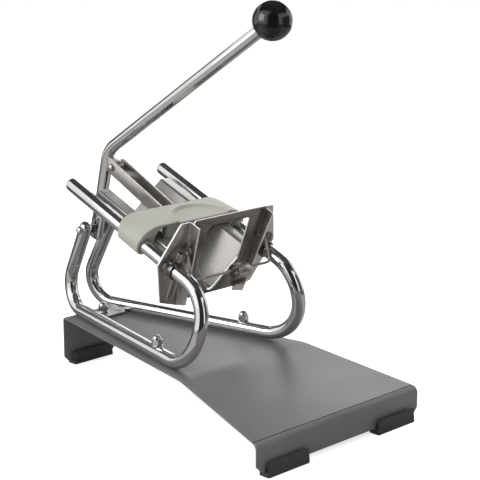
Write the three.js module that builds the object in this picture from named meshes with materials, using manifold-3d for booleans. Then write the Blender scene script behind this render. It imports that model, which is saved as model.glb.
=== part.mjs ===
// A table-top lever press that pushes a potato along a V trough and through a blade frame.
// Millimetres. +X is the way the potato travels, +Z is up, Y = 0 is the plane of symmetry.
// The origin is on the table, under the rear edge of the base plate.

import * as THREE from 'three';
import { mergeVertices } from 'three/addons/utils/BufferGeometryUtils.js';
import Module from 'manifold-3d';

const wasm = await Module();
wasm.setup();

// Fits
const seatGap = 0.3;
const runningGap = 0.4;
const overrun = 1;
const weld = 0.0001;
const headCrownShare = 0.5;
const headShoulderShare = 0.87;

// Base plate, a sheet folded down at both ends and bent down towards the front
const baseLength = 420;
const baseRearWidth = 83;
const baseFrontWidth = 252;
const baseSheet = 2;
const deckHeight = 62.5;
const deckBendFromRear = 274;
const deckBendRadius = 60;
const frontFoldHeight = 37;
const rearFoldRadius = 4;
const frontFoldRadius = 7;
const rearFlangeHeight = 4.5;
const frontFlangeHeight = 6.4;
const flangeChamfer = 7;

// Rubber feet, pushed on the lower edges of the two flanges
const footLength = 60;
const footThickness = 14;
const footHeight = 16;
const footInset = 11.5;
const footRounding = 2;
const footGrooveHeight = 8;
const footGrooveWidth = 2;
const footGrooveDepth = 1.2;

// Rail frame, two round bars that are bent alike and mirrored
const barDiameter = 16;
const railSpan = 139;
const railRearX = 61.5;
const railRearHeight = 240.7;
const railSlope = 21.43;
const railLength = 241.5;
const runFrontX = 282;
const runFrontSpan = 170;
const runRearX = -34.7;
const runRearSpan = 27.6;
const railBendRadius = 46;
const runBendRadius = 49;
const rearBendRadius = 31;
const pivotX = 20;
const pivotHeight = 172;
const pivotSpan = 38;
const uprightOverhang = 6;

// Fixings between the frame and the base plate
const frameBoltX = 204;
const rearBoltX = 27;
const crossPlateThickness = 3;
const crossPlateLength = 34;
const boltDiameter = 6;
const boltHeadDiameter = 13;
const boltHeadHeight = 3.5;
const nutHexWidth = 11;
const nutHexHeight = 6;
const nutFlangeDiameter = 13.5;
const nutFlangeHeight = 1.6;
const nutDomeDiameter = 10;

// Lever pivot
const pivotBoltDiameter = 6;
const pivotHeadDiameter = 10;
const pivotHeadHeight = 4;
const pivotSpacerDiameter = 12;

// Lever, a round bar with a flattened eye, bent over towards the front
const leverDiameter = 14.4;
const leverKneeX = 43.7;
const leverKneeHeight = 269.6;
const leverKneeRadius = 34;
const knobX = 315.2;
const knobHeight = 441.2;
const knobDiameter = 43;
const knobMouthDiameter = 19;
const knobBoreDepth = 14;
const eyeWidth = 20;
const eyeThickness = 9.6;
const eyeBelowPivot = 15;
const eyeLength = 46;
const eyeGrooveWidth = 2.4;
const eyeGrooveDepth = 1.2;

// Lug on the lever and the push link that it drives
const linkRearRail = -5.5;
const linkRearRise = 10;
const linkFrontRail = 115;
const linkFrontRise = 2;
const lugThickness = 9;
const lugEyeDiameter = 13.6;
const lugRootHeight = 16;
const linkWidth = 19.4;
const linkSheet = 1.8;
const linkAbovePin = 8.2;
const linkBelowPin = 9.4;
const linkRearEnd = 7;
const linkFrontEnd = 8.5;
const linkWebSetback = 9;
const linkFoldRadius = 2.2;
const linkPinDiameter = 6;
const pinHeadDiameter = 10;
const pinHeadHeight = 5.5;

// Carriage, a moulded saddle that slides on both rails
const carriageRear = 93.5;
const carriageFront = 137;
const carriageWidth = 163;
const carriageRearTop = 16;
const carriageFrontTop = 23.5;
const carriageWall = 3.2;
const carriageCornerRadius = 24;
const carriageShoulder = 27;
const carriageBoss = 12.2;
const carriageEdgeRounding = 3;

// Pusher, the V block under the carriage that fills the trough
const pusherRear = 126.5;
const pusherFront = 132.5;
const pusherClearance = 0.8;
const cheekThickness = 4;
const cheekRear = 103;
const cheekBelow = 13;
const pusherFloorRounding = 5;

// Trough, one folded sheet with level rims
const troughRear = 30;
const troughSheet = 1.5;
const troughRimHalfWidth = 54.5;
const troughRimRise = 5.5;
const troughFoldHalfWidth = 40;
const troughFoldRise = 6.3;
const troughFloorRise = -46;
const troughFoldRadius = 3;
const troughFloorRadius = 6;

// Blade frame, a flat frame between two folded side brackets
const bracketRail = 180.2;
const frameSheet = 2;
const bracketTopInner = 56;
const bracketTopOuter = 70;
const bracketTopRise = 54;
const bracketWaistHalfWidth = 89;
const bracketWaistRise = 5;
const bracketFootOuter = 70;
const bracketFootOuterRise = -48;
const bracketFootInner = 43;
const bracketFootRise = -57;
const bracketCornerRadius = 3;
const guideDepth = 14;
const framePlateFront = 185.5;
const framePlateTop = 58;
const framePlateBottom = -47;
const windowHalfWidth = 31;
const windowTop = 47.5;
const windowShoulder = -28;
const windowCornerRadius = 3;
const legRibWidth = 3;
const legRibDepth = 1.4;
const legRibTop = -16;
const legRibBottom = -47;
const legRibFirst = 52;
const legRibSecond = 61;

// Clamp collars on the rails in front of the brackets
const collarRear = 187;
const collarWidth = 5;
const collarDiameter = 20.5;
const collarScrewDiameter = 4;
const collarScrewLength = 13;
const collarScrewHeadDiameter = 8.4;
const collarScrewHeadHeight = 6.5;
const collarScrewHeadEdge = 0.6;
const collarScrewTilt = 8;

// Wire bail with its coil springs and rolled finger strip
const bailWire = 3;
const bailHalfWidth = 59.5;
const bailPivotRail = 188.5;
const bailPivotRise = 22;
const bailRunRail = 209;
const bailRunRise = -3;
const bailCornerRadius = 5;
const bailStubEnd = 48.8;
const bailStubBend = 3;
const springWire = 0.9;
const springRadius = 3.2;
const springTurns = 2;
const stripLeft = 26;
const stripRight = 3;
const stripThickness = 1.2;
const stripOuterRadius = 9.5;
const stripTurns = 1.3;
const stripOpeningTurns = 0.62;

// Facets
const barSides = 16;
const wireSides = 8;
const turnedSides = 16;
const bendStep = 12;
const knobSides = 24;
const knobRings = 11;
const springSides = 6;
const springStepsPerTurn = 10;

const degree = Math.PI / 180;

// Finishes
const chrome = { color: 0xc9ccd0, roughness: 0.12, metalness: 1 };
const darkChrome = { color: 0x6f6d6c, roughness: 0.25, metalness: 1 };
const stainless = { color: 0x9b9794, roughness: 0.42, metalness: 1 };
const graphitePaint = { color: 0x6c6c6e, roughness: 0.62, metalness: 0.25 };
const blackRubber = { color: 0x1d1d1e, roughness: 0.85, metalness: 0 };
const whiteNylon = { color: 0xd6d6cd, roughness: 0.48, metalness: 0 };
const blackGloss = { color: 0x0c0c0d, roughness: 0.12, metalness: 0 };

const v2 = (x, y) => new THREE.Vector2(x, y);
const v3 = (x, y, z) => new THREE.Vector3(x, y, z);

// Gives a mesh its shared corners, drops empty triangles and turns its faces outwards.
function closed(geometry) {
  const bare = geometry.clone();
  bare.deleteAttribute('normal');
  bare.deleteAttribute('uv');
  const merged = mergeVertices(bare, weld);
  const index = merged.index.array;
  const position = merged.attributes.position;
  const kept = [];
  let volume = 0;
  const a = v3(0, 0, 0);
  const b = v3(0, 0, 0);
  const c = v3(0, 0, 0);
  for (let i = 0; i < index.length; i += 3) {
    const [p, q, r] = [index[i], index[i + 1], index[i + 2]];
    if (p === q || q === r || r === p) continue;
    kept.push(p, q, r);
    a.fromBufferAttribute(position, p);
    b.fromBufferAttribute(position, q);
    c.fromBufferAttribute(position, r);
    volume += a.dot(b.cross(c));
  }
  if (volume < 0) kept.reverse();
  merged.setIndex(kept);
  return merged;
}

function solid(geometry) {
  const shape = closed(geometry);
  const vertProperties = new Float32Array(shape.attributes.position.array);
  const triVerts = new Uint32Array(shape.index.array);
  return new wasm.Manifold(new wasm.Mesh({ numProp: 3, vertProperties, triVerts }));
}

function geometryOf(body) {
  const mesh = body.getMesh();
  const geometry = new THREE.BufferGeometry();
  geometry.setAttribute('position', new THREE.BufferAttribute(mesh.vertProperties, 3));
  geometry.setIndex(new THREE.BufferAttribute(mesh.triVerts, 1));
  return geometry;
}

function join(first, ...others) {
  return geometryOf(others.reduce((sum, other) => sum.add(solid(other)), solid(first)));
}

function cut(first, ...others) {
  return geometryOf(others.reduce((rest, other) => rest.subtract(solid(other)), solid(first)));
}

function common(first, second) {
  return geometryOf(solid(first).intersect(solid(second)));
}

// Extrudes a flat outline along one axis: outlines are (Y, Z) for x, (X, Z) for y, (X, Y) for z.
function slab(axis, outline, from, to, holes = []) {
  const shape = new THREE.Shape(outline);
  holes.forEach((hole) => shape.holes.push(new THREE.Path(hole)));
  const geometry = new THREE.ExtrudeGeometry(shape, { depth: to - from, bevelEnabled: false });
  const place = new THREE.Matrix4();
  if (axis === 'x') {
    place.makeBasis(v3(0, 1, 0), v3(0, 0, 1), v3(1, 0, 0)).setPosition(from, 0, 0);
  } else if (axis === 'y') {
    place.makeBasis(v3(1, 0, 0), v3(0, 0, 1), v3(0, -1, 0)).setPosition(0, to, 0);
  } else {
    place.setPosition(0, 0, from);
  }
  return closed(geometry.applyMatrix4(place));
}

// Turns a profile of (radius, height) points about a line through a place, along a direction.
function turned(profile, place, direction, sides = turnedSides) {
  const geometry = new THREE.LatheGeometry(profile, sides);
  const turn = new THREE.Quaternion().setFromUnitVectors(v3(0, 1, 0), direction);
  geometry.applyQuaternion(turn);
  geometry.translate(place.x, place.y, place.z);
  return closed(geometry);
}

function rod(radius, length, place, direction, sides = turnedSides) {
  const profile = [v2(0, 0), v2(radius, 0), v2(radius, length), v2(0, length)];
  return turned(profile, place, direction, sides);
}

function circle(radius, x, y, sides = turnedSides) {
  return Array.from({ length: sides }, (_, i) => {
    const turn = (2 * Math.PI * i) / sides;
    return v2(x + radius * Math.cos(turn), y + radius * Math.sin(turn));
  });
}

function arcEllipse(x, y, wide, high, from, to, steps) {
  return Array.from({ length: steps + 1 }, (_, i) => {
    const turn = (from + ((to - from) * i) / steps) * degree;
    return v2(x + wide * Math.cos(turn), y + high * Math.sin(turn));
  });
}

const arc = (radius, x, y, from, to, steps) => arcEllipse(x, y, radius, radius, from, to, steps);

// Stations along a bent line, with a place and a heading each; bends are cut short if they meet.
function bentLine(corners, radii, loop = false) {
  const count = corners.length;
  const at = (i) => corners[(i + count) % count];
  const bends = corners.map((corner, i) => {
    if (!loop && (i === 0 || i === count - 1)) return { reach: 0 };
    const before = corner.clone().sub(at(i - 1)).normalize();
    const after = at(i + 1).clone().sub(corner).normalize();
    const turn = before.angleTo(after);
    const radius = Array.isArray(radii) ? radii[loop ? i : i - 1] : radii;
    return { before, after, turn, radius, reach: radius * Math.tan(turn / 2) };
  });
  const shrink = bends.map((bend, i) => {
    if (!bend.reach) return 1;
    const back = at(i).distanceTo(at(i - 1)) / (bend.reach + bends[(i - 1 + count) % count].reach);
    const on = at(i).distanceTo(at(i + 1)) / (bend.reach + bends[(i + 1) % count].reach);
    return Math.min(1, back * (1 - weld), on * (1 - weld));
  });
  const stations = [];
  if (!loop) stations.push({ place: corners[0].clone(), heading: at(1).clone().sub(at(0)).normalize() });
  bends.forEach((bend, i) => {
    if (!bend.reach) return;
    const { before, after, turn } = bend;
    const radius = bend.radius * shrink[i];
    const side = after.clone().addScaledVector(before, -after.dot(before)).normalize();
    const start = at(i).clone().addScaledVector(before, -bend.reach * shrink[i]);
    const centre = start.clone().addScaledVector(side, radius);
    const steps = Math.max(2, Math.ceil(turn / (bendStep * degree)));
    for (let k = 0; k <= steps; k += 1) {
      const angle = (turn * k) / steps;
      const place = centre.clone().addScaledVector(side, -radius * Math.cos(angle));
      place.addScaledVector(before, radius * Math.sin(angle));
      const heading = before.clone().multiplyScalar(Math.cos(angle));
      heading.addScaledVector(side, Math.sin(angle));
      stations.push({ place, heading });
    }
  });
  if (!loop) {
    const last = corners[count - 1];
    stations.push({ place: last.clone(), heading: last.clone().sub(at(count - 2)).normalize() });
  }
  return stations;
}

// A closed outline with rounded corners, from flat points.
function rounded(points, radii) {
  const corners = points.map((p) => v3(p.x, p.y, 0));
  return bentLine(corners, radii, true).map(({ place }) => v2(place.x, place.y));
}

// The cut edge of a bent sheet: its middle line, made as thick as the sheet.
function sheetEdge(points, radii, thickness) {
  const corners = points.map((p) => v3(p.x, p.y, 0));
  const stations = bentLine(corners, radii);
  const offset = ({ place, heading }, by) => v2(place.x - heading.y * by, place.y + heading.x * by);
  const upper = stations.map((station) => offset(station, thickness / 2));
  const lower = stations.map((station) => offset(station, -thickness / 2));
  return upper.concat(lower.reverse());
}

// A path that is sampled at chosen stations, so straight stretches need no rings.
class StationPath extends THREE.Curve {
  constructor(stations) {
    super();
    this.stations = stations;
  }

  stationAt(u) {
    return this.stations[Math.round(u * (this.stations.length - 1))];
  }

  getPoint(u, target = new THREE.Vector3()) {
    return target.copy(this.stationAt(u).place);
  }

  getPointAt(u, target = new THREE.Vector3()) {
    return this.getPoint(u, target);
  }

  getTangentAt(u, target = new THREE.Vector3()) {
    return target.copy(this.stationAt(u).heading);
  }
}

function bar(radius, stations, sides = barSides) {
  const shape = new THREE.Shape(circle(radius, 0, 0, sides));
  const extrudePath = new StationPath(stations);
  const steps = stations.length - 1;
  return closed(new THREE.ExtrudeGeometry(shape, { steps, extrudePath, bevelEnabled: false }));
}

// A skin over rings with equal numbers of points, closed by a flat face at each end.
function loft(rings) {
  const sides = rings[0].length;
  const positions = rings.flat().flatMap((p) => [p.x, p.y, p.z]);
  const index = [];
  for (let r = 0; r < rings.length - 1; r += 1) {
    for (let s = 0; s < sides; s += 1) {
      const a = r * sides + s;
      const b = r * sides + ((s + 1) % sides);
      index.push(a, b, b + sides, a, b + sides, a + sides);
    }
  }
  return { positions, index, sides, last: (rings.length - 1) * sides };
}

// Closes a loft whose end rings are given flat, as outlines in their own plane.
function capped({ positions, index, sides, last }, firstFlat, lastFlat) {
  THREE.ShapeUtils.triangulateShape(firstFlat, []).forEach(([a, b, c]) => index.push(c, b, a));
  THREE.ShapeUtils.triangulateShape(lastFlat, []).forEach(([a, b, c]) => {
    index.push(a + last, b + last, c + last);
  });
  const geometry = new THREE.BufferGeometry();
  geometry.setAttribute('position', new THREE.Float32BufferAttribute(positions, 3));
  geometry.setIndex(index);
  return closed(geometry);
}

const press = new THREE.Group();

// Everything that lies square to the rails is placed in this group: x runs down the rails from
// their rear ends, z stands square to them.
const rails = new THREE.Group();
rails.position.set(railRearX, 0, railRearHeight);
rails.rotation.y = railSlope * degree;
press.add(rails);
rails.updateMatrix();
const railMatrix = rails.matrix;

function add(group, name, geometry, finish) {
  geometry.computeVertexNormals();
  const mesh = new THREE.Mesh(geometry, new THREE.MeshStandardMaterial(finish));
  mesh.name = name;
  group.add(mesh);
  return mesh;
}

const sideName = (side) => (side > 0 ? 'left' : 'right');
const bothSides = [1, -1];
const alongX = v3(1, 0, 0);
const alongY = v3(0, 1, 0);
const upward = v3(0, 0, 1);

// Frame line of one side: rail, front bend, run on the deck, rear bend, upright.
const barRadius = barDiameter / 2;
const runHeight = deckHeight + seatGap + barRadius;
const railFrontEnd = v3(railLength, 0, 0).applyMatrix4(railMatrix);
const pivotPoint = v3(pivotX, 0, pivotHeight);

function frameCorners(side) {
  const railRear = v3(railRearX, (side * railSpan) / 2, railRearHeight);
  const railFront = v3(railFrontEnd.x, (side * railSpan) / 2, railFrontEnd.z);
  const runFront = v3(runFrontX, (side * runFrontSpan) / 2, runHeight);
  const runRear = v3(runRearX, (side * runRearSpan) / 2, runHeight);
  const pivot = v3(pivotX, (side * pivotSpan) / 2, pivotHeight);
  const top = pivot.clone().addScaledVector(pivot.clone().sub(runRear).normalize(), uprightOverhang);
  return [railRear, railFront, runFront, runRear, top];
}

function runHalfSpanAt(x) {
  const share = (x - runRearX) / (runFrontX - runRearX);
  return (runRearSpan + (runFrontSpan - runRearSpan) * share) / 2;
}

// Domed end of a bar, turned about the bar's own line.
function barDome(place, direction) {
  const inner = barRadius * Math.cos(Math.PI / barSides);
  const height = barRadius / 2;
  const profile = [v2(0, -overrun), v2(inner, -overrun), ...arcEllipse(0, 0, inner, height, 0, 90, 4)];
  profile[profile.length - 1].x = 0;
  return turned(profile, place, direction, barSides);
}

const boltHole = boltDiameter / 2 + seatGap;
const pivotHole = pivotBoltDiameter / 2 + seatGap;

// Base plate
function basePlate() {
  const sheetTop = deckHeight - baseSheet / 2;
  const frontTop = frontFoldHeight - baseSheet / 2;
  const rearFace = baseSheet / 2;
  const frontFace = baseLength - baseSheet / 2;
  const line = [
    v2(rearFace, rearFlangeHeight),
    v2(rearFace, sheetTop),
    v2(deckBendFromRear, sheetTop),
    v2(frontFace, frontTop),
    v2(frontFace, frontFlangeHeight),
  ];
  const edge = sheetEdge(line, [rearFoldRadius, deckBendRadius, frontFoldRadius], baseSheet);
  const half = baseFrontWidth / 2;
  const folded = slab('y', edge, -half - overrun, half + overrun);
  const rearHalf = baseRearWidth / 2;
  const plan = [v2(0, -rearHalf), v2(baseLength, -half), v2(baseLength, half), v2(0, rearHalf)];
  const trimmed = common(folded, slab('z', plan, -overrun, deckHeight + overrun));
  const corner = (halfWidth, bottom, side) => [
    v2(side * (halfWidth - flangeChamfer), bottom - overrun),
    v2(side * (halfWidth + overrun), bottom - overrun),
    v2(side * (halfWidth + overrun), bottom + flangeChamfer),
  ];
  const chamfers = bothSides.flatMap((side) => [
    slab('x', corner(rearHalf, rearFlangeHeight, side), -overrun, baseSheet + overrun),
    slab('x', corner(half, frontFlangeHeight, side), frontFace - baseSheet, baseLength + overrun),
  ]);
  const frameHoles = bothSides.map((side) => v3(frameBoltX, side * runHalfSpanAt(frameBoltX), overrun));
  const holes = [v3(rearBoltX, 0, overrun), ...frameHoles];
  const drills = holes.map((place) => rod(boltHole, deckHeight, place, upward));
  return cut(trimmed, ...chamfers, ...drills);
}

add(press, 'base_plate', basePlate(), graphitePaint);

// Rubber feet
function foot(middleX, flangeBottom, middleY) {
  const half = footThickness / 2;
  const slot = baseSheet / 2 + seatGap;
  const floor = flangeBottom - seatGap;
  const groove = half - footGrooveDepth;
  const grooveTop = footGrooveHeight + footGrooveWidth;
  const side = [
    v2(slot, floor),
    v2(slot, footHeight),
    ...arc(footRounding, half - footRounding, footHeight - footRounding, 90, 0, 4),
    v2(half, grooveTop),
    v2(groove, grooveTop - footGrooveDepth / 2),
    v2(groove, footGrooveHeight + footGrooveDepth / 2),
    v2(half, footGrooveHeight),
    v2(half, footGrooveDepth),
    v2(groove, 0),
  ];
  const other = side.map((p) => v2(-p.x, p.y)).reverse();
  const outline = side.concat(other).map((p) => v2(p.x + middleX, p.y));
  return slab('y', outline, middleY - footLength / 2, middleY + footLength / 2);
}

add(press, 'foot_rear', foot(baseSheet / 2, rearFlangeHeight, 0), blackRubber);
bothSides.forEach((side) => {
  const middleY = side * (baseFrontWidth / 2 - footInset - footLength / 2);
  const shape = foot(baseLength - baseSheet / 2, frontFlangeHeight, middleY);
  add(press, `foot_front_${sideName(side)}`, shape, blackRubber);
});

// Bent bars of the frame
bothSides.forEach((side) => {
  const corners = frameCorners(side);
  const stations = bentLine(corners, [railBendRadius, runBendRadius, rearBendRadius]);
  const first = stations[0];
  const last = stations[stations.length - 1];
  const body = join(
    bar(barRadius, stations),
    barDome(first.place, first.heading.clone().negate()),
    barDome(last.place, last.heading),
  );
  const boltY = side * runHalfSpanAt(frameBoltX);
  const boltDrill = rod(boltHole, barDiameter + 2 * overrun, v3(frameBoltX, boltY, deckHeight), upward);
  const pivotDrill = rod(
    pivotHole,
    barDiameter + 2 * overrun,
    v3(pivotX, (side * pivotSpan) / 2 - barRadius - overrun, pivotHeight),
    alongY,
  );
  add(press, `frame_bar_${sideName(side)}`, cut(body, boltDrill, pivotDrill), chrome);
});

// Cross plate between the two runs, over the rear bolt
function crossPlate() {
  const edge = (x) => runHalfSpanAt(x) - barRadius - seatGap;
  const rear = rearBoltX - crossPlateLength / 2;
  const front = rearBoltX + crossPlateLength / 2;
  const plan = [
    v2(rear, -edge(rear)),
    v2(front, -edge(front)),
    v2(front, edge(front)),
    v2(rear, edge(rear)),
  ];
  const bottom = deckHeight + seatGap;
  const hole = circle(boltHole, rearBoltX, 0);
  return slab('z', plan, bottom, bottom + crossPlateThickness, [hole]);
}

add(press, 'rear_cross_plate', crossPlate(), darkChrome);

// Pin with a domed head below its seat and a plain shank above it
function headedPin(headDiameter, headHeight, diameter, length, seat, direction) {
  const head = headDiameter / 2;
  const shank = diameter / 2;
  const profile = [
    v2(0, -headHeight),
    v2(head * headCrownShare, -headHeight),
    v2(head * headShoulderShare, -headHeight / 2),
    v2(head, 0),
    v2(shank, 0),
    v2(shank, length),
    v2(0, length),
  ];
  return turned(profile, seat, direction);
}

const nutReach = nutFlangeHeight + nutHexHeight;

// Bolt from under the deck, up to the nut that sits at a height
function deckBolt(x, y, nutSeat) {
  const headSeat = deckHeight - baseSheet - seatGap;
  const length = nutSeat - headSeat + nutReach;
  const place = v3(x, y, headSeat);
  return headedPin(boltHeadDiameter, boltHeadHeight, boltDiameter, length, place, upward);
}

// Domed cap nut with a flange and a blind bore
function capNut(place, direction) {
  const hexRadius = nutHexWidth / 2 / Math.cos(30 * degree);
  const flange = nutFlangeDiameter / 2;
  const dome = nutDomeDiameter / 2;
  const flangeEdge = nutFlangeHeight / 2;
  const hex = rod(hexRadius, nutReach - flangeEdge, v3(0, 0, flangeEdge), upward, 6);
  const core = [
    v2(0, 0),
    v2(flange, 0),
    v2(flange, flangeEdge),
    v2(dome, nutFlangeHeight),
    ...arc(dome, 0, nutReach, 0, 90, 5),
  ];
  core[core.length - 1].x = 0;
  const body = join(turned(core, v3(0, 0, 0), upward), hex);
  const boreDepth = nutReach + seatGap;
  const nut = cut(body, rod(boltHole, boreDepth + overrun, v3(0, 0, -overrun), upward));
  nut.applyQuaternion(new THREE.Quaternion().setFromUnitVectors(upward, direction));
  nut.translate(place.x, place.y, place.z);
  return nut;
}

const rearSeat = deckHeight + 2 * seatGap + crossPlateThickness;
add(press, 'rear_bolt', deckBolt(rearBoltX, 0, rearSeat), chrome);
add(press, 'rear_cap_nut', capNut(v3(rearBoltX, 0, rearSeat), upward), chrome);
bothSides.forEach((side) => {
  const y = side * runHalfSpanAt(frameBoltX);
  const seat = runHeight + barRadius + seatGap;
  add(press, `frame_bolt_${sideName(side)}`, deckBolt(frameBoltX, y, seat), chrome);
  add(press, `frame_cap_nut_${sideName(side)}`, capNut(v3(frameBoltX, y, seat), upward), chrome);
});

// Lever pivot: a bolt right through both uprights, its cap nut and two spacers
const uprightLean = (pivotSpan - runRearSpan) / 2 / (pivotHeight - runHeight);
const pivotOuter = pivotSpan / 2 + barRadius + uprightLean * pivotHeadDiameter / 2 + seatGap;
const pivotInner = pivotSpan / 2 - barRadius - uprightLean * pivotSpacerDiameter / 2 - seatGap;
const eyeHalf = eyeThickness / 2;

function pivotBolt() {
  const seat = v3(pivotX, -pivotOuter, pivotHeight);
  const length = 2 * pivotOuter + nutReach;
  return headedPin(pivotHeadDiameter, pivotHeadHeight, pivotBoltDiameter, length, seat, alongY);
}

add(press, 'pivot_bolt', pivotBolt(), chrome);
add(press, 'pivot_cap_nut', capNut(v3(pivotX, pivotOuter, pivotHeight), alongY), chrome);
bothSides.forEach((side) => {
  const from = eyeHalf + seatGap;
  const profile = [
    v2(pivotHole, from),
    v2(pivotSpacerDiameter / 2, from),
    v2(pivotSpacerDiameter / 2, pivotInner),
    v2(pivotHole, pivotInner),
    v2(pivotHole, from),
  ];
  const spacer = turned(profile, pivotPoint, v3(0, side, 0));
  add(press, `pivot_spacer_${sideName(side)}`, spacer, darkChrome);
});

// Lever
const leverRadius = leverDiameter / 2;
const knee = v3(leverKneeX, 0, leverKneeHeight);
const knob = v3(knobX, 0, knobHeight);
const lowerHeading = knee.clone().sub(pivotPoint).normalize();
const upperHeading = knob.clone().sub(knee).normalize();
const linkRear = v3(linkRearRail, 0, linkRearRise);
const linkFront = v3(linkFrontRail, 0, linkFrontRise);
const linkRearWorld = linkRear.clone().applyMatrix4(railMatrix);
const knobMouthDepth = Math.sqrt((knobDiameter / 2) ** 2 - (knobMouthDiameter / 2) ** 2);

// The eye's rounded tip, as shares of its length, width and thickness, and its neck, where it
// goes over into the round bar by a share.
const eyeTipShares = [
  { along: 0, wide: 0.5, thick: 0.9 },
  { along: 0.05, wide: 0.82, thick: 1 },
  { along: 0.14, wide: 1, thick: 1 },
];
const eyeNeckShares = [
  { along: 0.5, round: 0 },
  { along: 0.75, round: 0.45 },
  { along: 0.93, round: 0.93 },
];

function leverBar() {
  const low = pivotPoint.clone().addScaledVector(lowerHeading, -eyeBelowPivot);
  const high = knob.clone().addScaledVector(upperHeading, knobBoreDepth - seatGap - knobMouthDepth);
  const start = low.clone().addScaledVector(lowerHeading, eyeLength);
  const eyeRing = (along, across, through) => ({
    place: low.clone().addScaledVector(lowerHeading, along * eyeLength),
    heading: lowerHeading,
    across,
    through,
  });
  const tipRings = eyeTipShares.map(({ along, wide, thick }) => {
    return eyeRing(along, (eyeWidth / 2) * wide, eyeHalf * thick);
  });
  const neckRings = eyeNeckShares.map(({ along, round }) => {
    const across = eyeWidth / 2 + (leverRadius - eyeWidth / 2) * round;
    const through = eyeHalf + (leverRadius - eyeHalf) * round;
    return eyeRing(along, across, through);
  });
  const barRings = bentLine([start, knee, high], [leverKneeRadius]).map((station) => ({
    ...station,
    across: leverRadius,
    through: leverRadius,
  }));
  const rings = [...tipRings, ...neckRings, ...barRings];
  const outline = circle(1, 0, 0, barSides);
  const skin = rings.map(({ place, heading, across, through }) => {
    const side = v3(heading.z, 0, -heading.x).multiplyScalar(across);
    return outline.map((p) => {
      const point = place.clone().addScaledVector(side, p.x);
      return point.addScaledVector(alongY, through * p.y);
    });
  });
  const body = capped(loft(skin), outline, outline);
  const hole = rod(pivotHole, 2 * leverDiameter, v3(pivotX, -leverDiameter, pivotHeight), alongY);
  const grooves = bothSides.map((side) => {
    const reach = eyeLength / 2;
    const base = low.clone().addScaledVector(lowerHeading, -overrun);
    const box = new THREE.BoxGeometry(eyeGrooveWidth, 2 * eyeGrooveDepth, reach);
    box.translate(0, side * eyeHalf, reach / 2);
    box.applyQuaternion(new THREE.Quaternion().setFromUnitVectors(upward, lowerHeading));
    return box.translate(base.x, base.y, base.z);
  });
  return cut(body, hole, ...grooves);
}

add(press, 'lever_bar', leverBar(), chrome);

function leverKnob() {
  const radius = knobDiameter / 2;
  const mouthAngle = Math.atan2(-knobMouthDepth, knobMouthDiameter / 2) / degree;
  const bore = leverRadius + seatGap;
  const profile = [
    v2(0, knobBoreDepth - knobMouthDepth),
    v2(bore, knobBoreDepth - knobMouthDepth),
    v2(bore, -knobMouthDepth),
    ...arc(radius, 0, 0, mouthAngle, 90, knobRings),
  ];
  profile[profile.length - 1].x = 0;
  return turned(profile, knob, upperHeading, knobSides);
}

add(press, 'lever_knob', leverKnob(), blackGloss);

// Lug welded to the front of the lever, with the eye for the link pin
const linkPinHole = linkPinDiameter / 2 + seatGap;

function linkLug() {
  const eye = lugEyeDiameter / 2;
  const fromPivot = linkRearWorld.clone().sub(pivotPoint);
  const root = pivotPoint.clone().addScaledVector(lowerHeading, fromPivot.dot(lowerHeading));
  const out = linkRearWorld.clone().sub(root).normalize();
  const outAngle = Math.atan2(out.z, out.x) / degree;
  const up = v2(lowerHeading.x, lowerHeading.z);
  const rootTop = v2(root.x, root.z).addScaledVector(up, lugRootHeight / 2);
  const rootBottom = v2(root.x, root.z).addScaledVector(up, -lugRootHeight / 2);
  const nose = arc(eye, linkRearWorld.x, linkRearWorld.z, outAngle - 90, outAngle + 90, 10);
  const outline = [rootBottom, ...nose, rootTop];
  const plate = slab('y', outline, -lugThickness / 2, lugThickness / 2);
  const clearedBar = bar(leverRadius + seatGap, bentLine([pivotPoint, knee, knob], [leverKneeRadius]));
  const holeStart = v3(linkRearWorld.x, -lugThickness, linkRearWorld.z);
  const hole = rod(linkPinHole, 2 * lugThickness, holeStart, alongY);
  return cut(plate, clearedBar, hole);
}

add(press, 'link_lug', linkLug(), stainless);

// Push link, an open channel folded from sheet; its own x runs from rear pin to front pin
const linkReach = linkFront.clone().sub(linkRear);
const linkLength = linkReach.length();
const link = new THREE.Group();
link.position.copy(linkRear);
link.rotation.y = -Math.atan2(linkReach.z, linkReach.x);
rails.add(link);

function pushLink() {
  const half = linkWidth / 2 - linkSheet / 2;
  const floor = -linkBelowPin + linkSheet / 2;
  const section = sheetEdge(
    [v2(-half, linkAbovePin), v2(-half, floor), v2(half, floor), v2(half, linkAbovePin)],
    linkFoldRadius,
    linkSheet,
  );
  const rear = -linkRearEnd;
  const front = linkLength + linkFrontEnd;
  const channel = slab('x', section, rear, front);
  const profile = rounded(
    [
      v2(rear, -linkBelowPin),
      v2(front, -linkBelowPin),
      v2(front, linkAbovePin),
      v2(rear, linkAbovePin),
    ],
    [linkFoldRadius, linkFrontEnd, linkFrontEnd, linkRearEnd],
  );
  const shaped = common(channel, slab('y', profile, -linkWidth, linkWidth));
  const webLost = linkRearEnd + linkWebSetback;
  const webCut = new THREE.BoxGeometry(webLost, linkWidth - 2 * linkSheet, 2 * linkBelowPin);
  webCut.translate((linkWebSetback - linkRearEnd - overrun) / 2, 0, -linkBelowPin);
  const pins = [0, linkLength].map((x) => rod(linkPinHole, 2 * linkWidth, v3(x, -linkWidth, 0), alongY));
  return cut(shaped, webCut, ...pins);
}

add(link, 'push_link', pushLink(), stainless);

// Pin through the link and the lug: a domed head on one side, a cap nut on the other
function linkPin() {
  const seat = linkWidth / 2 + seatGap;
  const length = 2 * seat + nutReach;
  return headedPin(pinHeadDiameter, pinHeadHeight, linkPinDiameter, length, v3(0, -seat, 0), alongY);
}

add(link, 'link_pin', linkPin(), darkChrome);
add(link, 'link_pin_nut', capNut(v3(0, linkWidth / 2 + seatGap, 0), alongY), darkChrome);

// Pin at the front of the link, inside the carriage
function carriagePin() {
  const half = linkWidth / 2 + runningGap;
  const shank = linkPinDiameter / 2;
  return rod(shank, 2 * half, v3(linkLength, -half, 0), alongY);
}

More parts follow.
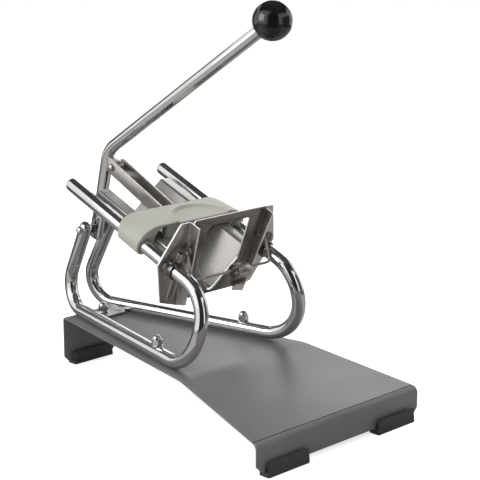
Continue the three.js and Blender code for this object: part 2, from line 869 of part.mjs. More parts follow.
add(link, 'carriage_pin', carriagePin(), stainless);

// The carriage's skin has more sections near its rounded rear corners, which draw in its sides.
const carriageStationShares = [0, 0.06, 0.14, 0.26, 0.4, 0.5, 0.75, 1];
const cornerDrawShare = 0.5;

const carriageRoofAt = (x) => {
  const share = (x - carriageRear) / (carriageFront - carriageRear);
  return carriageRearTop + (carriageFrontTop - carriageRearTop) * share;
};

// Carriage: a skin over arched sections, with the rail bores through its two bosses
function carriageSection(x) {
  const lost = Math.max(0, carriageCornerRadius - (x - carriageRear));
  const draw = carriageCornerRadius - Math.sqrt(carriageCornerRadius ** 2 - lost ** 2);
  const half = carriageWidth / 2 - draw * cornerDrawShare;
  const top = carriageRoofAt(x);
  const railY = railSpan / 2;
  const under = top - carriageWall;
  const innerY = railY - carriageBoss;
  const outerArc = arcEllipse(half - carriageShoulder, 0, carriageShoulder, top, 90, 0, 8);
  const bossOuter = arcEllipse(railY, 0, half - railY, carriageBoss, 0, -90, 5).slice(1);
  const bossInner = arc(carriageBoss, railY, 0, -90, -180, 5).slice(1);
  const rise = under - troughFoldRise;
  const haunch = arc(rise, innerY - rise, under - rise, 0, 90, 6);
  const right = [...outerArc, ...bossOuter, ...bossInner, ...haunch];
  const left = right.map((p) => v2(-p.x, p.y)).reverse();
  return right.concat(left).reverse();
}

function carriage() {
  const length = carriageFront - carriageRear;
  const stations = carriageStationShares.map((share) => carriageRear + length * share);
  const outlines = stations.map(carriageSection);
  const rings = outlines.map((outline, i) => outline.map((p) => v3(stations[i], p.x, p.y)));
  const body = capped(loft(rings), outlines[0], outlines[outlines.length - 1]);
  const bores = bothSides.map((side) => {
    const start = v3(carriageRear - overrun, (side * railSpan) / 2, 0);
    return rod(barRadius + runningGap, length + 2 * overrun, start, alongX);
  });
  return cut(body, ...bores);
}

add(rails, 'carriage', carriage(), whiteNylon);

// Pusher: a block with the trough's inner section, and two cheeks beside the link
const troughSlope = Math.atan2(troughFoldRise - troughFloorRise, troughFoldHalfWidth);
const pusherInset = (troughSheet / 2 + pusherClearance) / Math.sin(troughSlope);

function pusher() {
  const roof = (x) => carriageRoofAt(x) - carriageWall - seatGap;
  const halfAt = (z) => (z - troughFloorRise) / Math.tan(troughSlope) - pusherInset;
  const top = roof(pusherRear);
  const rim = troughFoldRise;
  const floor = troughFloorRise + pusherInset * Math.tan(troughSlope);
  const shoulder = halfAt(rim);
  const outline = rounded(
    [v2(0, floor), v2(shoulder, rim), v2(shoulder, top), v2(-shoulder, top), v2(-shoulder, rim)],
    [pusherFloorRounding, overrun, carriageEdgeRounding, carriageEdgeRounding, overrun],
  );
  const block = slab('x', outline, pusherRear, pusherFront);
  const cheekInner = linkWidth / 2 + runningGap + seatGap;
  const cheekTop = roof(cheekRear);
  const cheekOutline = rounded(
    [
      v2(cheekRear, -cheekBelow),
      v2(pusherRear + overrun, -cheekBelow),
      v2(pusherRear + overrun, cheekTop),
      v2(cheekRear, cheekTop),
    ],
    carriageEdgeRounding,
  );
  const cheeks = bothSides.map((side) => {
    const near = Math.min(side * cheekInner, side * (cheekInner + cheekThickness));
    return slab('y', cheekOutline, near, near + cheekThickness);
  });
  return join(block, ...cheeks);
}

add(rails, 'pusher', pusher(), whiteNylon);

// Trough
function trough() {
  const rimOuter = troughRimHalfWidth;
  const section = sheetEdge(
    [
      v2(-rimOuter, troughRimRise),
      v2(-troughFoldHalfWidth, troughFoldRise),
      v2(0, troughFloorRise),
      v2(troughFoldHalfWidth, troughFoldRise),
      v2(rimOuter, troughRimRise),
    ],
    [troughFoldRadius, troughFloorRadius, troughFoldRadius],
    troughSheet,
  );
  const front = framePlateFront - frameSheet - seatGap;
  const sheet = slab('x', section, troughRear, front);
  const bracketRear = bracketRail - frameSheet / 2 - seatGap;
  const notchInner = guideLineAt(troughRimRise) - frameSheet - seatGap;
  const notches = bothSides.map((side) => {
    const box = new THREE.BoxGeometry(guideDepth, rimOuter, framePlateTop);
    return box.translate(bracketRear + guideDepth / 2, side * (notchInner + rimOuter / 2), 0);
  });
  return cut(sheet, ...notches);
}

// Middle of the folded guide wall at a height, from the plane of symmetry.
function guideLineAt(rise) {
  const share = (bracketTopRise - rise) / (bracketTopRise - bracketFootRise);
  return bracketTopInner + (bracketFootInner - bracketTopInner) * share;
}

add(rails, 'trough', trough(), stainless);

// Blade frame plate, with the window that the blade set drops into
function framePlate() {
  const edge = (rise) => guideLineAt(rise) - frameSheet / 2 - seatGap;
  const outline = rounded(
    [
      v2(-edge(framePlateTop), framePlateTop),
      v2(-edge(framePlateBottom), framePlateBottom),
      v2(edge(framePlateBottom), framePlateBottom),
      v2(edge(framePlateTop), framePlateTop),
    ],
    windowCornerRadius,
  );
  const inset = troughSheet / 2 / Math.cos(troughSlope);
  const notchHalf = (windowShoulder - troughFloorRise + inset) / Math.tan(troughSlope);
  const window = rounded(
    [
      v2(-windowHalfWidth, windowTop),
      v2(-windowHalfWidth, windowShoulder),
      v2(-notchHalf, windowShoulder),
      v2(0, troughFloorRise - inset + troughFloorRadius),
      v2(notchHalf, windowShoulder),
      v2(windowHalfWidth, windowShoulder),
      v2(windowHalfWidth, windowTop),
    ],
    windowCornerRadius,
  );
  return slab('x', outline, framePlateFront - frameSheet, framePlateFront, [window]);
}

add(rails, 'blade_frame', framePlate(), stainless);

// Side brackets: a flat wing clamped on the rail and a guide wall folded forward
const bailPinHole = bailWire / 2 + seatGap;

function sideBracket(side) {
  const rear = bracketRail - frameSheet / 2;
  const front = rear + frameSheet;
  const wing = rounded(
    [
      v2(side * guideLineAt(bracketTopRise), bracketTopRise),
      v2(side * bracketTopOuter, bracketTopRise),
      v2(side * bracketWaistHalfWidth, bracketWaistRise),
      v2(side * bracketFootOuter, bracketFootOuterRise),
      v2(side * guideLineAt(bracketFootRise), bracketFootRise),
    ],
    [frameSheet / 2, bracketCornerRadius, bracketCornerRadius, bracketCornerRadius, frameSheet / 2],
  );
  const flat = slab('x', wing, rear, front);
  const half = frameSheet / 2;
  const wall = [
    v2(side * (guideLineAt(bracketTopRise) - half), bracketTopRise),
    v2(side * (guideLineAt(bracketTopRise) + half), bracketTopRise),
    v2(side * (guideLineAt(bracketFootRise) + half), bracketFootRise),
    v2(side * (guideLineAt(bracketFootRise) - half), bracketFootRise),
  ];
  const guide = slab('x', wall, rear, front + guideDepth);
  const ribs = [legRibFirst, legRibSecond].map((y) => {
    const centre = side * y;
    const outline = [
      v2(centre - legRibWidth / 2, legRibBottom),
      v2(centre + legRibWidth / 2, legRibBottom),
      v2(centre + legRibWidth / 2, legRibTop),
      v2(centre - legRibWidth / 2, legRibTop),
    ];
    return slab('x', outline, front - half, front + legRibDepth);
  });
  const railHoleStart = v3(rear - guideDepth, (side * railSpan) / 2, 0);
  const railHole = rod(barRadius + seatGap, 2 * guideDepth, railHoleStart, alongX);
  const bailHoleStart = v3(bailPivotRail, 0, bailPivotRise);
  const bailHole = rod(bailPinHole, bracketWaistHalfWidth, bailHoleStart, v3(0, side, 0));
  return cut(join(flat, guide, ...ribs), railHole, bailHole);
}

bothSides.forEach((side) => {
  add(rails, `side_bracket_${sideName(side)}`, sideBracket(side), stainless);
});

// Clamp collars and their screws
function collarScrewAim(side) {
  const tilt = collarScrewTilt * degree;
  return v3(0, -side * Math.sin(tilt), Math.cos(tilt));
}

function collar(side) {
  const inner = barRadius + seatGap;
  const outer = collarDiameter / 2;
  const rim = outer - seatGap;
  const profile = [
    v2(inner, 0),
    v2(rim, 0),
    v2(outer, seatGap),
    v2(outer, collarWidth - seatGap),
    v2(rim, collarWidth),
    v2(inner, collarWidth),
    v2(inner, 0),
  ];
  const ring = turned(profile, v3(collarRear, (side * railSpan) / 2, 0), alongX);
  const middle = v3(collarRear + collarWidth / 2, (side * railSpan) / 2, 0);
  const drill = rod(collarScrewDiameter / 2 + seatGap, collarDiameter, middle, collarScrewAim(side));
  return cut(ring, drill);
}

function collarScrew(side) {
  const middle = v3(collarRear + collarWidth / 2, (side * railSpan) / 2, 0);
  const start = barRadius + seatGap;
  const shank = collarScrewDiameter / 2;
  const head = collarScrewHeadDiameter / 2;
  const headStart = start + collarScrewLength - collarScrewHeadHeight;
  const end = start + collarScrewLength;
  const edge = collarScrewHeadEdge;
  const profile = [
    v2(0, start),
    v2(shank, start),
    v2(shank, headStart),
    v2(head - edge, headStart),
    v2(head, headStart + edge),
    v2(head, end - edge),
    v2(head - edge, end),
    v2(0, end),
  ];
  return turned(profile, middle, collarScrewAim(side));
}

bothSides.forEach((side) => {
  add(rails, `clamp_collar_${sideName(side)}`, collar(side), darkChrome);
  add(rails, `clamp_screw_${sideName(side)}`, collarScrew(side), darkChrome);
});

// Wire bail that holds the blade set in its frame
const bailRadius = bailWire / 2;

function bailBar() {
  const corners = [];
  bothSides.forEach((side) => {
    const ends = [
      v3(bailPivotRail, side * bailStubEnd, bailPivotRise),
      v3(bailPivotRail, side * bailHalfWidth, bailPivotRise),
      v3(bailRunRail, side * bailHalfWidth, bailRunRise),
    ];
    corners.push(...(side > 0 ? ends : ends.reverse()));
  });
  const radii = [bailStubBend, bailCornerRadius, bailCornerRadius, bailStubBend];
  return bar(bailRadius, bentLine(corners, radii), wireSides);
}

add(rails, 'bail_wire', bailBar(), stainless);

// Least gap between turns of a coil, from points that lie half a turn or more apart
function leastCoilGap(stations, stepsPerTurn, wire) {
  let least = Infinity;
  stations.forEach(({ place }, i) => {
    stations.slice(i + stepsPerTurn / 2).forEach((other) => {
      least = Math.min(least, place.distanceTo(other.place) - wire);
    });
  });
  return least;
}

// Coil springs on the bail's two stubs, between the guide wall and the leg
function coilSpring(side) {
  const inner = guideLineAt(bailPivotRise) + frameSheet / 2 + seatGap + springWire / 2;
  const outer = bailHalfWidth - bailRadius - seatGap - springWire / 2;
  const steps = springTurns * springStepsPerTurn;
  const stations = Array.from({ length: steps + 1 }, (_, i) => {
    const share = i / steps;
    const turn = 2 * Math.PI * springTurns * share;
    const y = side * (inner + (outer - inner) * share);
    const place = v3(
      bailPivotRail + springRadius * Math.cos(turn),
      y,
      bailPivotRise + springRadius * Math.sin(turn),
    );
    const climb = (side * (outer - inner)) / (2 * Math.PI * springTurns * springRadius);
    const heading = v3(-Math.sin(turn), climb, Math.cos(turn)).normalize();
    return { place, heading };
  });
  const gap = leastCoilGap(stations, springStepsPerTurn, springWire);
  console.log(`bail_spring_${sideName(side)}: least gap to itself ${gap.toFixed(2)} mm`);
  return bar(springWire / 2, stations, springSides);
}

bothSides.forEach((side) => {
  add(rails, `bail_spring_${sideName(side)}`, coilSpring(side), darkChrome);
});

// Strip rolled round the bail's cross run, for the finger
function rolledStrip() {
  const innerRadius = bailRadius + seatGap + stripThickness / 2;
  const outerRadius = stripOuterRadius - stripThickness / 2;
  const steps = Math.ceil((stripTurns * 360) / (2 * bendStep));
  const stations = Array.from({ length: steps + 1 }, (_, i) => {
    const share = i / steps;
    const turns = share * stripTurns;
    const turn = (90 - 360 * turns) * degree;
    const radius = innerRadius + (outerRadius - innerRadius) * Math.min(1, turns / stripOpeningTurns);
    return v2(radius * Math.cos(turn), radius * Math.sin(turn));
  });
  const offset = (by) => stations.map((p, i) => {
    const before = stations[Math.max(0, i - 1)];
    const after = stations[Math.min(steps, i + 1)];
    const along = after.clone().sub(before).normalize();
    return v2(p.x - along.y * by, p.y + along.x * by);
  });
  const edge = offset(stripThickness / 2).concat(offset(-stripThickness / 2).reverse());
  const outline = edge.map((p) => v2(p.x + bailRunRail, p.y + bailRunRise));
  return slab('y', outline, stripRight, stripLeft);
}

add(rails, 'bail_strip', rolledStrip(), stainless);

press.updateMatrixWorld(true);

export default press;
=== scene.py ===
from math import atan2, cos, pi, radians, sin, sqrt, tan

import bmesh
import bpy
from mathutils import Matrix, Vector


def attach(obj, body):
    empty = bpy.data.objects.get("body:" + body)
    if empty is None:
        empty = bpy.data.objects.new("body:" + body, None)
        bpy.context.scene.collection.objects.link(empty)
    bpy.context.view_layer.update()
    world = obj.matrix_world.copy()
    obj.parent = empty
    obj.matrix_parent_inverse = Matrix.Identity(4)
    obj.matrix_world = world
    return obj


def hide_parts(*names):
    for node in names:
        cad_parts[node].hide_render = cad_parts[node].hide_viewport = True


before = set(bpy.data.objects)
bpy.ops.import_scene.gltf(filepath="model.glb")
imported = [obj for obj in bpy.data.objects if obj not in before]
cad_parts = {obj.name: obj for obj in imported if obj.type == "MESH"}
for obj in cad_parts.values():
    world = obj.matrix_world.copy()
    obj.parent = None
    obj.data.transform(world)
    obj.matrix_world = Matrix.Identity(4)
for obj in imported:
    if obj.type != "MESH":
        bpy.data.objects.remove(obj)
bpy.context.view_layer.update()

# Base plate: one steel sheet, wider at the front, powder coated in textured graphite. It is
# folded down at both ends, and the front third of its deck slopes down to the front fold.
base_length = 0.420
base_rear_width = 0.083
base_front_width = 0.252
base_sheet = 0.002
deck_height = 0.0625
deck_bend = 0.274
front_fold_height = 0.037
rear_flange_bottom = 0.0045
front_flange_bottom = 0.0064
deck_bend_radius = 0.061
rear_fold_radius = 0.005
front_fold_radius = 0.008
flange_chamfer = 0.007
cut_edge_round = 0.0005
crease_width = 0.0014
crease_depth = 0.0008
same_place = 1e-6


def only(piece):
    bpy.ops.object.select_all(action="DESELECT")
    piece.select_set(True)
    bpy.context.view_layer.objects.active = piece


def fresh():
    """Leaves edit mode and deselects all, so that a new primitive starts clean."""
    if bpy.context.mode != "OBJECT":
        bpy.ops.object.mode_set(mode="OBJECT")
    bpy.ops.object.select_all(action="DESELECT")


def started(name):
    """Names the primitive that was just added and opens it in edit mode, all selected."""
    piece = bpy.context.active_object
    piece.name = name
    piece.data.name = name
    bpy.ops.object.mode_set(mode="EDIT")
    bpy.ops.mesh.select_all(action="SELECT")
    return piece


def pick(piece, kind, test):
    """Selects the corners or edges whose every corner passes the test."""
    bpy.ops.mesh.select_mode(type=kind)
    bpy.ops.mesh.select_all(action="DESELECT")
    mesh = bmesh.from_edit_mesh(piece.data)
    for item in mesh.verts if kind == "VERT" else mesh.edges:
        corners = [item] if kind == "VERT" else item.verts
        item.select_set(all(test(corner.co) for corner in corners))
    mesh.select_flush_mode()
    bmesh.update_edit_mesh(piece.data)


def move(x, y, z):
    bpy.ops.transform.translate(value=(x, y, z))


def extrude_edges(x, y, z):
    bpy.ops.mesh.extrude_edges_move()
    move(x, y, z)


def modify(piece, kind, **settings):
    """Adds a modifier with its settings and applies it."""
    fresh()
    only(piece)
    modifier = piece.modifiers.new(kind.lower(), kind)
    for name, value in settings.items():
        setattr(modifier, name, value)
    bpy.ops.object.modifier_apply(modifier=modifier.name)


def soften(piece, width, segments=2, sharp=50):
    """Rounds every edge that is sharper than an angle."""
    modify(piece, "BEVEL", width=width, segments=segments, angle_limit=radians(sharp))


def combined(piece, other, how):
    """Joins, cuts or trims a piece with another one, which is used up."""
    modify(piece, "BOOLEAN", object=other, operation=how, solver="EXACT")
    bpy.data.objects.remove(other)
    return piece


def outward(piece):
    """Merges doubled corners and turns every face outwards."""
    fresh()
    only(piece)
    bpy.ops.object.mode_set(mode="EDIT")
    bpy.ops.mesh.select_all(action="SELECT")
    bpy.ops.mesh.remove_doubles(threshold=same_place)
    bpy.ops.mesh.normals_make_consistent()
    bpy.ops.object.mode_set(mode="OBJECT")


def dress(piece, material, body, slot, *nodes, smooth=40):
    """Gives a finished piece its smooth shading, its finish, its body and the nodes it stands for."""
    fresh()
    only(piece)
    bpy.ops.object.transform_apply()
    bpy.ops.object.shade_smooth_by_angle(angle=radians(smooth))
    if len(piece.data.materials) > 1:
        piece.data.materials[0] = material
    else:
        piece.data.materials.clear()
        piece.data.materials.append(material)
    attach(piece, body)
    if nodes:
        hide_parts(*nodes)


def add_node(tree, kind, output, sources, **values):
    """Adds a shader node with its values and what drives it, and gives one of its outputs."""
    node = tree.nodes.new("ShaderNode" + kind)
    for socket, value in values.items():
        node.inputs[socket.replace("_", " ")].default_value = value
    for socket, source in sources.items():
        tree.links.new(source, node.inputs[socket])
    return node.outputs[output]


def finish(name, tones, cloud, roughness, relief, grain=None, stops=(0.3, 0.7), **sockets):
    """A Principled finish: cloud noise runs between its two tones and two roughnesses, or grain
    noise between the roughnesses. A noise is its scale, detail, roughness and stretch, and each
    relief is a noise, its strength and its height."""
    material = bpy.data.materials.new(name)
    material.use_nodes = True
    tree = material.node_tree
    surface = tree.nodes["Principled BSDF"]
    for socket, value in sockets.items():
        surface.inputs[socket.replace("_", " ")].default_value = value
    object_place = add_node(tree, "TexCoord", "Object", {})

    def noise(scale, detail, rough=0.5, stretch=None):
        place = object_place
        if stretch:
            place = add_node(tree, "Mapping", "Vector", {"Vector": place}, Scale=stretch)
        return add_node(tree, "TexNoise", "Fac", {"Vector": place},
                        Scale=scale, Detail=detail, Roughness=rough)

    ramp = tree.nodes.new("ShaderNodeValToRGB")
    for element, position, tone in zip(ramp.color_ramp.elements, stops, tones):
        element.position = position
        element.color = (*tone, 1)
    clouds = noise(*cloud)
    tree.links.new(clouds, ramp.inputs["Fac"])
    tree.links.new(ramp.outputs["Color"], surface.inputs["Base Color"])
    rough = add_node(tree, "MapRange", "Result", {"Value": noise(*grain) if grain else clouds},
                     From_Min=0.3, From_Max=0.7, To_Min=roughness[0], To_Max=roughness[1])
    tree.links.new(rough, surface.inputs["Roughness"])
    below = {}
    for texture, strength, height in relief:
        normal = add_node(tree, "Bump", "Normal", {"Height": noise(*texture), **below},
                          Strength=strength, Distance=height)
        below = {"Normal": normal}
    tree.links.new(normal, surface.inputs["Normal"])
    return material


def base_half_width(x):
    return (base_rear_width + (base_front_width - base_rear_width) * x / base_length) / 2


coat_grain = (1500, 2)
graphite = finish(
    "graphite_powder_coat", tones=((0.132, 0.130, 0.131), (0.158, 0.155, 0.155)), cloud=(18, 4),
    roughness=(0.29, 0.44), grain=coat_grain, Metallic=0.1,
    relief=[((700, 1), 0.14, 0.0003), (coat_grain, 0.10, 0.0002)])
fresh()
bpy.ops.mesh.primitive_plane_add(size=1)
base_plate = started("base_plate_sheet")
mesh = bmesh.from_edit_mesh(base_plate.data)
for corner in mesh.verts:
    x = deck_bend if corner.co.x > 0 else 0
    half = base_half_width(x)
    corner.co = (x, half if corner.co.y > 0 else -half, deck_height)
bmesh.update_edit_mesh(base_plate.data)
pick(base_plate, "EDGE", lambda p: p.x < deck_bend / 2)
extrude_edges(0, 0, rear_flange_bottom - deck_height)
pick(base_plate, "EDGE", lambda p: p.x > deck_bend / 2)
extrude_edges(base_length - deck_bend, 0, front_fold_height - deck_height)
slope_widening = base_half_width(base_length) / base_half_width(deck_bend)
bpy.ops.transform.resize(value=(1, slope_widening, 1), center_override=(0, 0, 0))
extrude_edges(0, 0, front_flange_bottom - front_fold_height)
pick(base_plate, "VERT", lambda p: p.z < (rear_flange_bottom + front_flange_bottom))
bpy.ops.mesh.bevel(offset=flange_chamfer, affect="VERTICES", segments=1)
front_drop = atan2(deck_height - front_fold_height, base_length - deck_bend)
folds = [
    (0, rear_fold_radius, pi / 2, 8),
    (deck_bend, deck_bend_radius, front_drop, 10),
    (base_length, front_fold_radius, pi / 2 - front_drop, 12),
]
for fold_x, fold_radius, fold_angle, fold_steps in folds:
    pick(base_plate, "EDGE",
         lambda p: abs(p.x - fold_x) < same_place and p.z > front_fold_height - same_place)
    bpy.ops.mesh.bevel(offset=fold_radius * tan(fold_angle / 2), segments=fold_steps)
outward(base_plate)
modify(base_plate, "SOLIDIFY", thickness=base_sheet, offset=-1)
soften(base_plate, cut_edge_round, 3)
crease_back = front_fold_radius * tan((pi / 2 - front_drop) / 2)
crease_x = base_length - crease_back * cos(front_drop)
crease_z = front_fold_height + crease_back * sin(front_drop)
fresh()
bpy.ops.mesh.primitive_cube_add(size=1, location=(crease_x, 0, crease_z), rotation=(0, front_drop, 0),
                                scale=(crease_width, 2 * base_front_width, 2 * crease_depth))
combined(base_plate, bpy.context.active_object, "DIFFERENCE")
dress(base_plate, graphite, "root", "graphite_paint", "base_plate")

# Feet: three lengths of black rubber edging, pushed up over the lower edges of the two flanges.
# Each is a channel whose thin walls lean in towards the flange, and two ribs on its floor grip it.
foot_length = 0.060
foot_half_thickness = 0.007
foot_top_half = 0.0056
foot_height = 0.016
foot_wall = 0.0019
foot_wall_root = 0.0022
foot_inset = 0.0115
foot_slot = 0.0013
foot_rib_height = 0.003
foot_rib_width = 0.0011
foot_sole_round = 0.0008
foot_edge_round = 0.0005
seat_gap = 0.0003


def ring(name, corners, **settings):
    """Adds a circle, takes its place into the mesh and leaves it open in edit mode, selected."""
    fresh()
    bpy.ops.mesh.primitive_circle_add(vertices=corners, **settings)
    bpy.ops.object.transform_apply()
    return started(name)


def flat_piece(name, points):
    """Puts the corners of a disc at the points: one flat face, open and selected."""
    piece = ring(name, len(points), fill_type="NGON")
    mesh = bmesh.from_edit_mesh(piece.data)
    mesh.verts.ensure_lookup_table()
    for corner, point in zip(mesh.verts, points):
        corner.co = point
    bmesh.update_edit_mesh(piece.data)
    return piece


def slab(name, along, outline, start, thickness):
    """A flat outline that stands across an axis at its start, extruded along it to a closed piece."""
    axis = "XYZ".index(along)
    piece = flat_piece(name, [(*point[:axis], start, *point[axis:]) for point in outline])
    bpy.ops.mesh.extrude_region_move()
    move(*(thickness if along == letter else 0 for letter in "XYZ"))
    outward(piece)
    return piece


def arc(middle_x, middle_y, radius, start, end, steps):
    """Points on part of a circle, with its angles in degrees."""
    turns = [radians(start + (end - start) * step / steps) for step in range(steps + 1)]
    return [(middle_x + radius * cos(turn), middle_y + radius * sin(turn)) for turn in turns]


rubber = finish(
    "black_rubber", tones=((0.036,) * 3, (0.052,) * 3), stops=(0.35, 0.7), cloud=(45, 4),
    roughness=(0.58, 0.74), relief=[((2600, 2), 0.25, 0.00015)], Specular_IOR_Level=0.35)
feet = [
    ("foot_rear", base_sheet / 2, 0, rear_flange_bottom),
    ("foot_front_left", base_length - base_sheet / 2, 1, front_flange_bottom),
    ("foot_front_right", base_length - base_sheet / 2, -1, front_flange_bottom),
]
for node, foot_x, side, flange_bottom in feet:
    floor_top = flange_bottom - seat_gap
    half = [
        (foot_slot, floor_top),
        (foot_slot, floor_top + foot_rib_height),
        (foot_slot + foot_rib_width, floor_top + foot_rib_height),
        (foot_slot + foot_rib_width, floor_top),
        (foot_half_thickness - foot_wall_root, floor_top),
        (foot_top_half - foot_wall, foot_height),
        (foot_top_half, foot_height),
        (foot_half_thickness, foot_sole_round),
        (foot_half_thickness - foot_sole_round, 0),
    ]
    outline = half + [(-x, z) for x, z in reversed(half)]
    foot_y = side * (base_front_width / 2 - foot_inset - foot_length / 2) - foot_length / 2
    foot = slab(node + "_rubber", "Y", [(foot_x + x, z) for x, z in outline], foot_y, foot_length)
    soften(foot, foot_edge_round)
    dress(foot, rubber, "root", "black_rubber", node)

# Frame bars: two round steel bars, bent alike and mirrored, polished and chromed. Each is one
# piece: rail, front bend, run along the deck, rear bend and upright up to the lever pivot.
bar_radius = 0.008
rail_end_round = 0.005
upright_end_round = 0.0072
rail_span = 0.139
rail_rear = Vector((0.0615, 0, 0.2407))
rail_slope = radians(21.43)
rail_length = 0.2415
run_front = (0.282, 0.085)
run_rear = (-0.0347, 0.0138)
rail_bend_radius = 0.046
run_bend_radius = 0.049
rear_bend_radius = 0.0315
pivot = Vector((0.020, 0, 0.172))
pivot_span = 0.038
upright_overhang = 0.006
end_reach = 1.05
bar_bends = [rail_bend_radius, run_bend_radius, rear_bend_radius]
bar_ends = (rail_end_round, upright_end_round)
both_sides = [(1, "left"), (-1, "right")]

to_rails = Matrix.Translation(rail_rear) @ Matrix.Rotation(rail_slope, 4, "Y")
down_rails = to_rails.to_3x3() @ Vector((1, 0, 0))
run_height = deck_height + seat_gap + bar_radius


def bend_stations(corners, radii):
    """For each bend: how far it starts before its corner, its centre, its axis and its angle."""
    bends = []
    for before, corner, after, radius in zip(corners, corners[1:], corners[2:], radii):
        come = (corner - before).normalized()
        go = (after - corner).normalized()
        angle = come.angle(go)
        reach = radius * tan(angle / 2)
        inward = (go - come * go.dot(come)).normalized()
        bends.append((reach, corner - come * reach + inward * radius, come.cross(go).normalized(), angle))
    return bends


def close_end(piece, middle, radius, round_over, steps=8):
    """Closes a rod's open end and rounds its edge over."""
    only(piece)
    bpy.ops.object.mode_set(mode="EDIT")
    at_end = lambda p: (p - middle).length < radius * end_reach
    pick(piece, "EDGE", at_end)
    bpy.ops.mesh.edge_face_add()
    if round_over:
        pick(piece, "EDGE", at_end)
        bpy.ops.mesh.bevel(offset=round_over, segments=steps)
    fresh()


def bent_rod(name, radius, corners, radii, ends, sides=40, steps=20, end_steps=8):
    """A round rod: a circle that is extruded along each straight and spun round each bend, with
    its two ends closed and rounded over."""
    turn = (corners[1] - corners[0]).to_track_quat("Z", "Y").to_euler()
    piece = ring(name, sides, radius=radius, location=corners[0], rotation=turn)
    here = corners[0]
    for corner, (reach, centre, axis, angle) in zip(corners[1:], bend_stations(corners, radii)):
        come = (corner - here).normalized()
        bend_start = corner - come * reach
        extrude_edges(*(bend_start - here))
        bpy.ops.mesh.spin(steps=steps, angle=-angle, center=centre, axis=axis)
        here = bend_start + Matrix.Rotation(angle, 3, axis) @ (bend_start - centre) - (bend_start - centre)
    extrude_edges(*(corners[-1] - here))
    outward(piece)
    close_end(piece, corners[0], radius, ends[0], end_steps)
    close_end(piece, corners[-1], radius, ends[1], end_steps)
    return piece


def shaded(tone, share):
    return tuple(channel * share for channel in tone)


chrome_tone = (0.74, 0.75, 0.77)
chrome = finish(
    "chrome_plate", tones=(shaded(chrome_tone, 0.93), chrome_tone), stops=(0.35, 0.65), cloud=(26, 2),
    roughness=(0.0595, 0.1275), relief=[((60, 1), 0.02, 0.0001)], Metallic=1.0)
for side, side_name in both_sides:
    rail_side = Vector((0, side * rail_span / 2, 0))
    pivot_side = Vector((pivot.x, side * pivot_span / 2, pivot.z))
    lower_end = Vector((run_rear[0], side * run_rear[1], run_height))
    upright_end = pivot_side + (pivot_side - lower_end).normalized() * (upright_overhang + bar_radius / 2)
    corners = [
        rail_rear + rail_side - down_rails * bar_radius / 2,
        rail_rear + rail_side + down_rails * rail_length,
        Vector((run_front[0], side * run_front[1], run_height)),
        lower_end,
        upright_end,
    ]
    bar = bent_rod("frame_bar_" + side_name + "_bent", bar_radius, corners, bar_bends, bar_ends)
    dress(bar, chrome, "root", "chrome", "frame_bar_" + side_name)

# Cross plate: a small steel plate that lies between the two runs over the rear bolt and is
# welded to both bars along its sides.
cross_plate_thickness = 0.003
cross_plate_length = 0.034
cross_plate_corner = 0.002
cross_plate_edge_round = 0.0004
rear_bolt_x = 0.027
bead_radius = 0.0016
bead_inset = 0.0073
bead_setback = 0.003
bead_end_round = 0.0008


def run_half_span(x):
    share = (x - run_rear[0]) / (run_front[0] - run_rear[0])
    return run_rear[1] + (run_front[1] - run_rear[1]) * share


def plated_steel(name, tone, roughness):
    """Plated small parts: zinc, nickel or dark chrome over a rough ground, cloudier than the bars."""
    return finish(
        name, tones=(shaded(tone, 0.72), tone), cloud=(120, 4, 0.6),
        roughness=(roughness * 0.75, roughness * 1.4), relief=[((300, 2), 0.03, 0.0001)], Metallic=1.0)


dark_chrome = plated_steel("dark_chrome_plate", (0.21, 0.20, 0.195), 0.24)
plate_zinc = plated_steel("cross_plate_zinc", (0.56, 0.555, 0.54), 0.40)
plate_rear = rear_bolt_x - cross_plate_length / 2
plate_front = rear_bolt_x + cross_plate_length / 2
plate_bottom = deck_height + seat_gap
plate_corners = [(-1, plate_rear), (-1, plate_front), (1, plate_front), (1, plate_rear)]
cross_plate = flat_piece("cross_plate_welded", [
    (x, side * (run_half_span(x) - bar_radius), plate_bottom) for side, x in plate_corners])
bpy.ops.mesh.bevel(offset=cross_plate_corner, affect="VERTICES", segments=4)
bpy.ops.mesh.select_all(action="SELECT")
bpy.ops.mesh.extrude_region_move()
move(0, 0, cross_plate_thickness)
outward(cross_plate)
soften(cross_plate, cross_plate_edge_round)
for side in (1, -1):
    ends = [Vector((x, side * (run_half_span(x) - bead_inset), plate_bottom + cross_plate_thickness))
            for x in (plate_rear + bead_setback, plate_front - bead_setback)]
    bead = bent_rod("weld_bead", bead_radius, ends, [], [bead_end_round] * 2, sides=16, end_steps=3)
    combined(cross_plate, bead, "UNION")
dress(cross_plate, plate_zinc, "root", "dark_chrome", "rear_cross_plate")

# Bolts and cap nuts of the frame: round-headed bolts come up through the deck, and domed nuts
# with a flange hold the cross plate and the two runs down.
bolt_radius = 0.003
bolt_head_radius = 0.0065
bolt_head_height = 0.0035
bolt_head_crown = 0.92
bolt_chamfer = 0.0006
frame_bolt_x = 0.204
nut_hex_width = 0.011
nut_hex_height = 0.006
nut_chamfer = 0.0006
nut_chamfer_slack = 0.0002
nut_top_slack = 0.0001
nut_neck_slack = 0.0003
nut_flange_radius = 0.00675
nut_flange_height = 0.0016
nut_flange_round = 0.0004
nut_dome_radius = 0.005
nut_edge_round = 0.00018
nut_sink = 0.0004
pole = 0.00002


def grow(profile, closed):
    """Extrudes and scales the selected ring from one (half width, half depth, height) to the next."""
    across, through, height = profile[0]
    for next_across, next_through, next_height in profile[1:]:
        if closed:
            bpy.ops.mesh.extrude_region_move()
        else:
            bpy.ops.mesh.extrude_edges_move()
        move(0, 0, next_height - height)
        bpy.ops.transform.resize(value=(next_across / across, next_through / through, 1),
                                 center_override=(0, 0, next_height))
        across, through, height = next_across, next_through, next_height


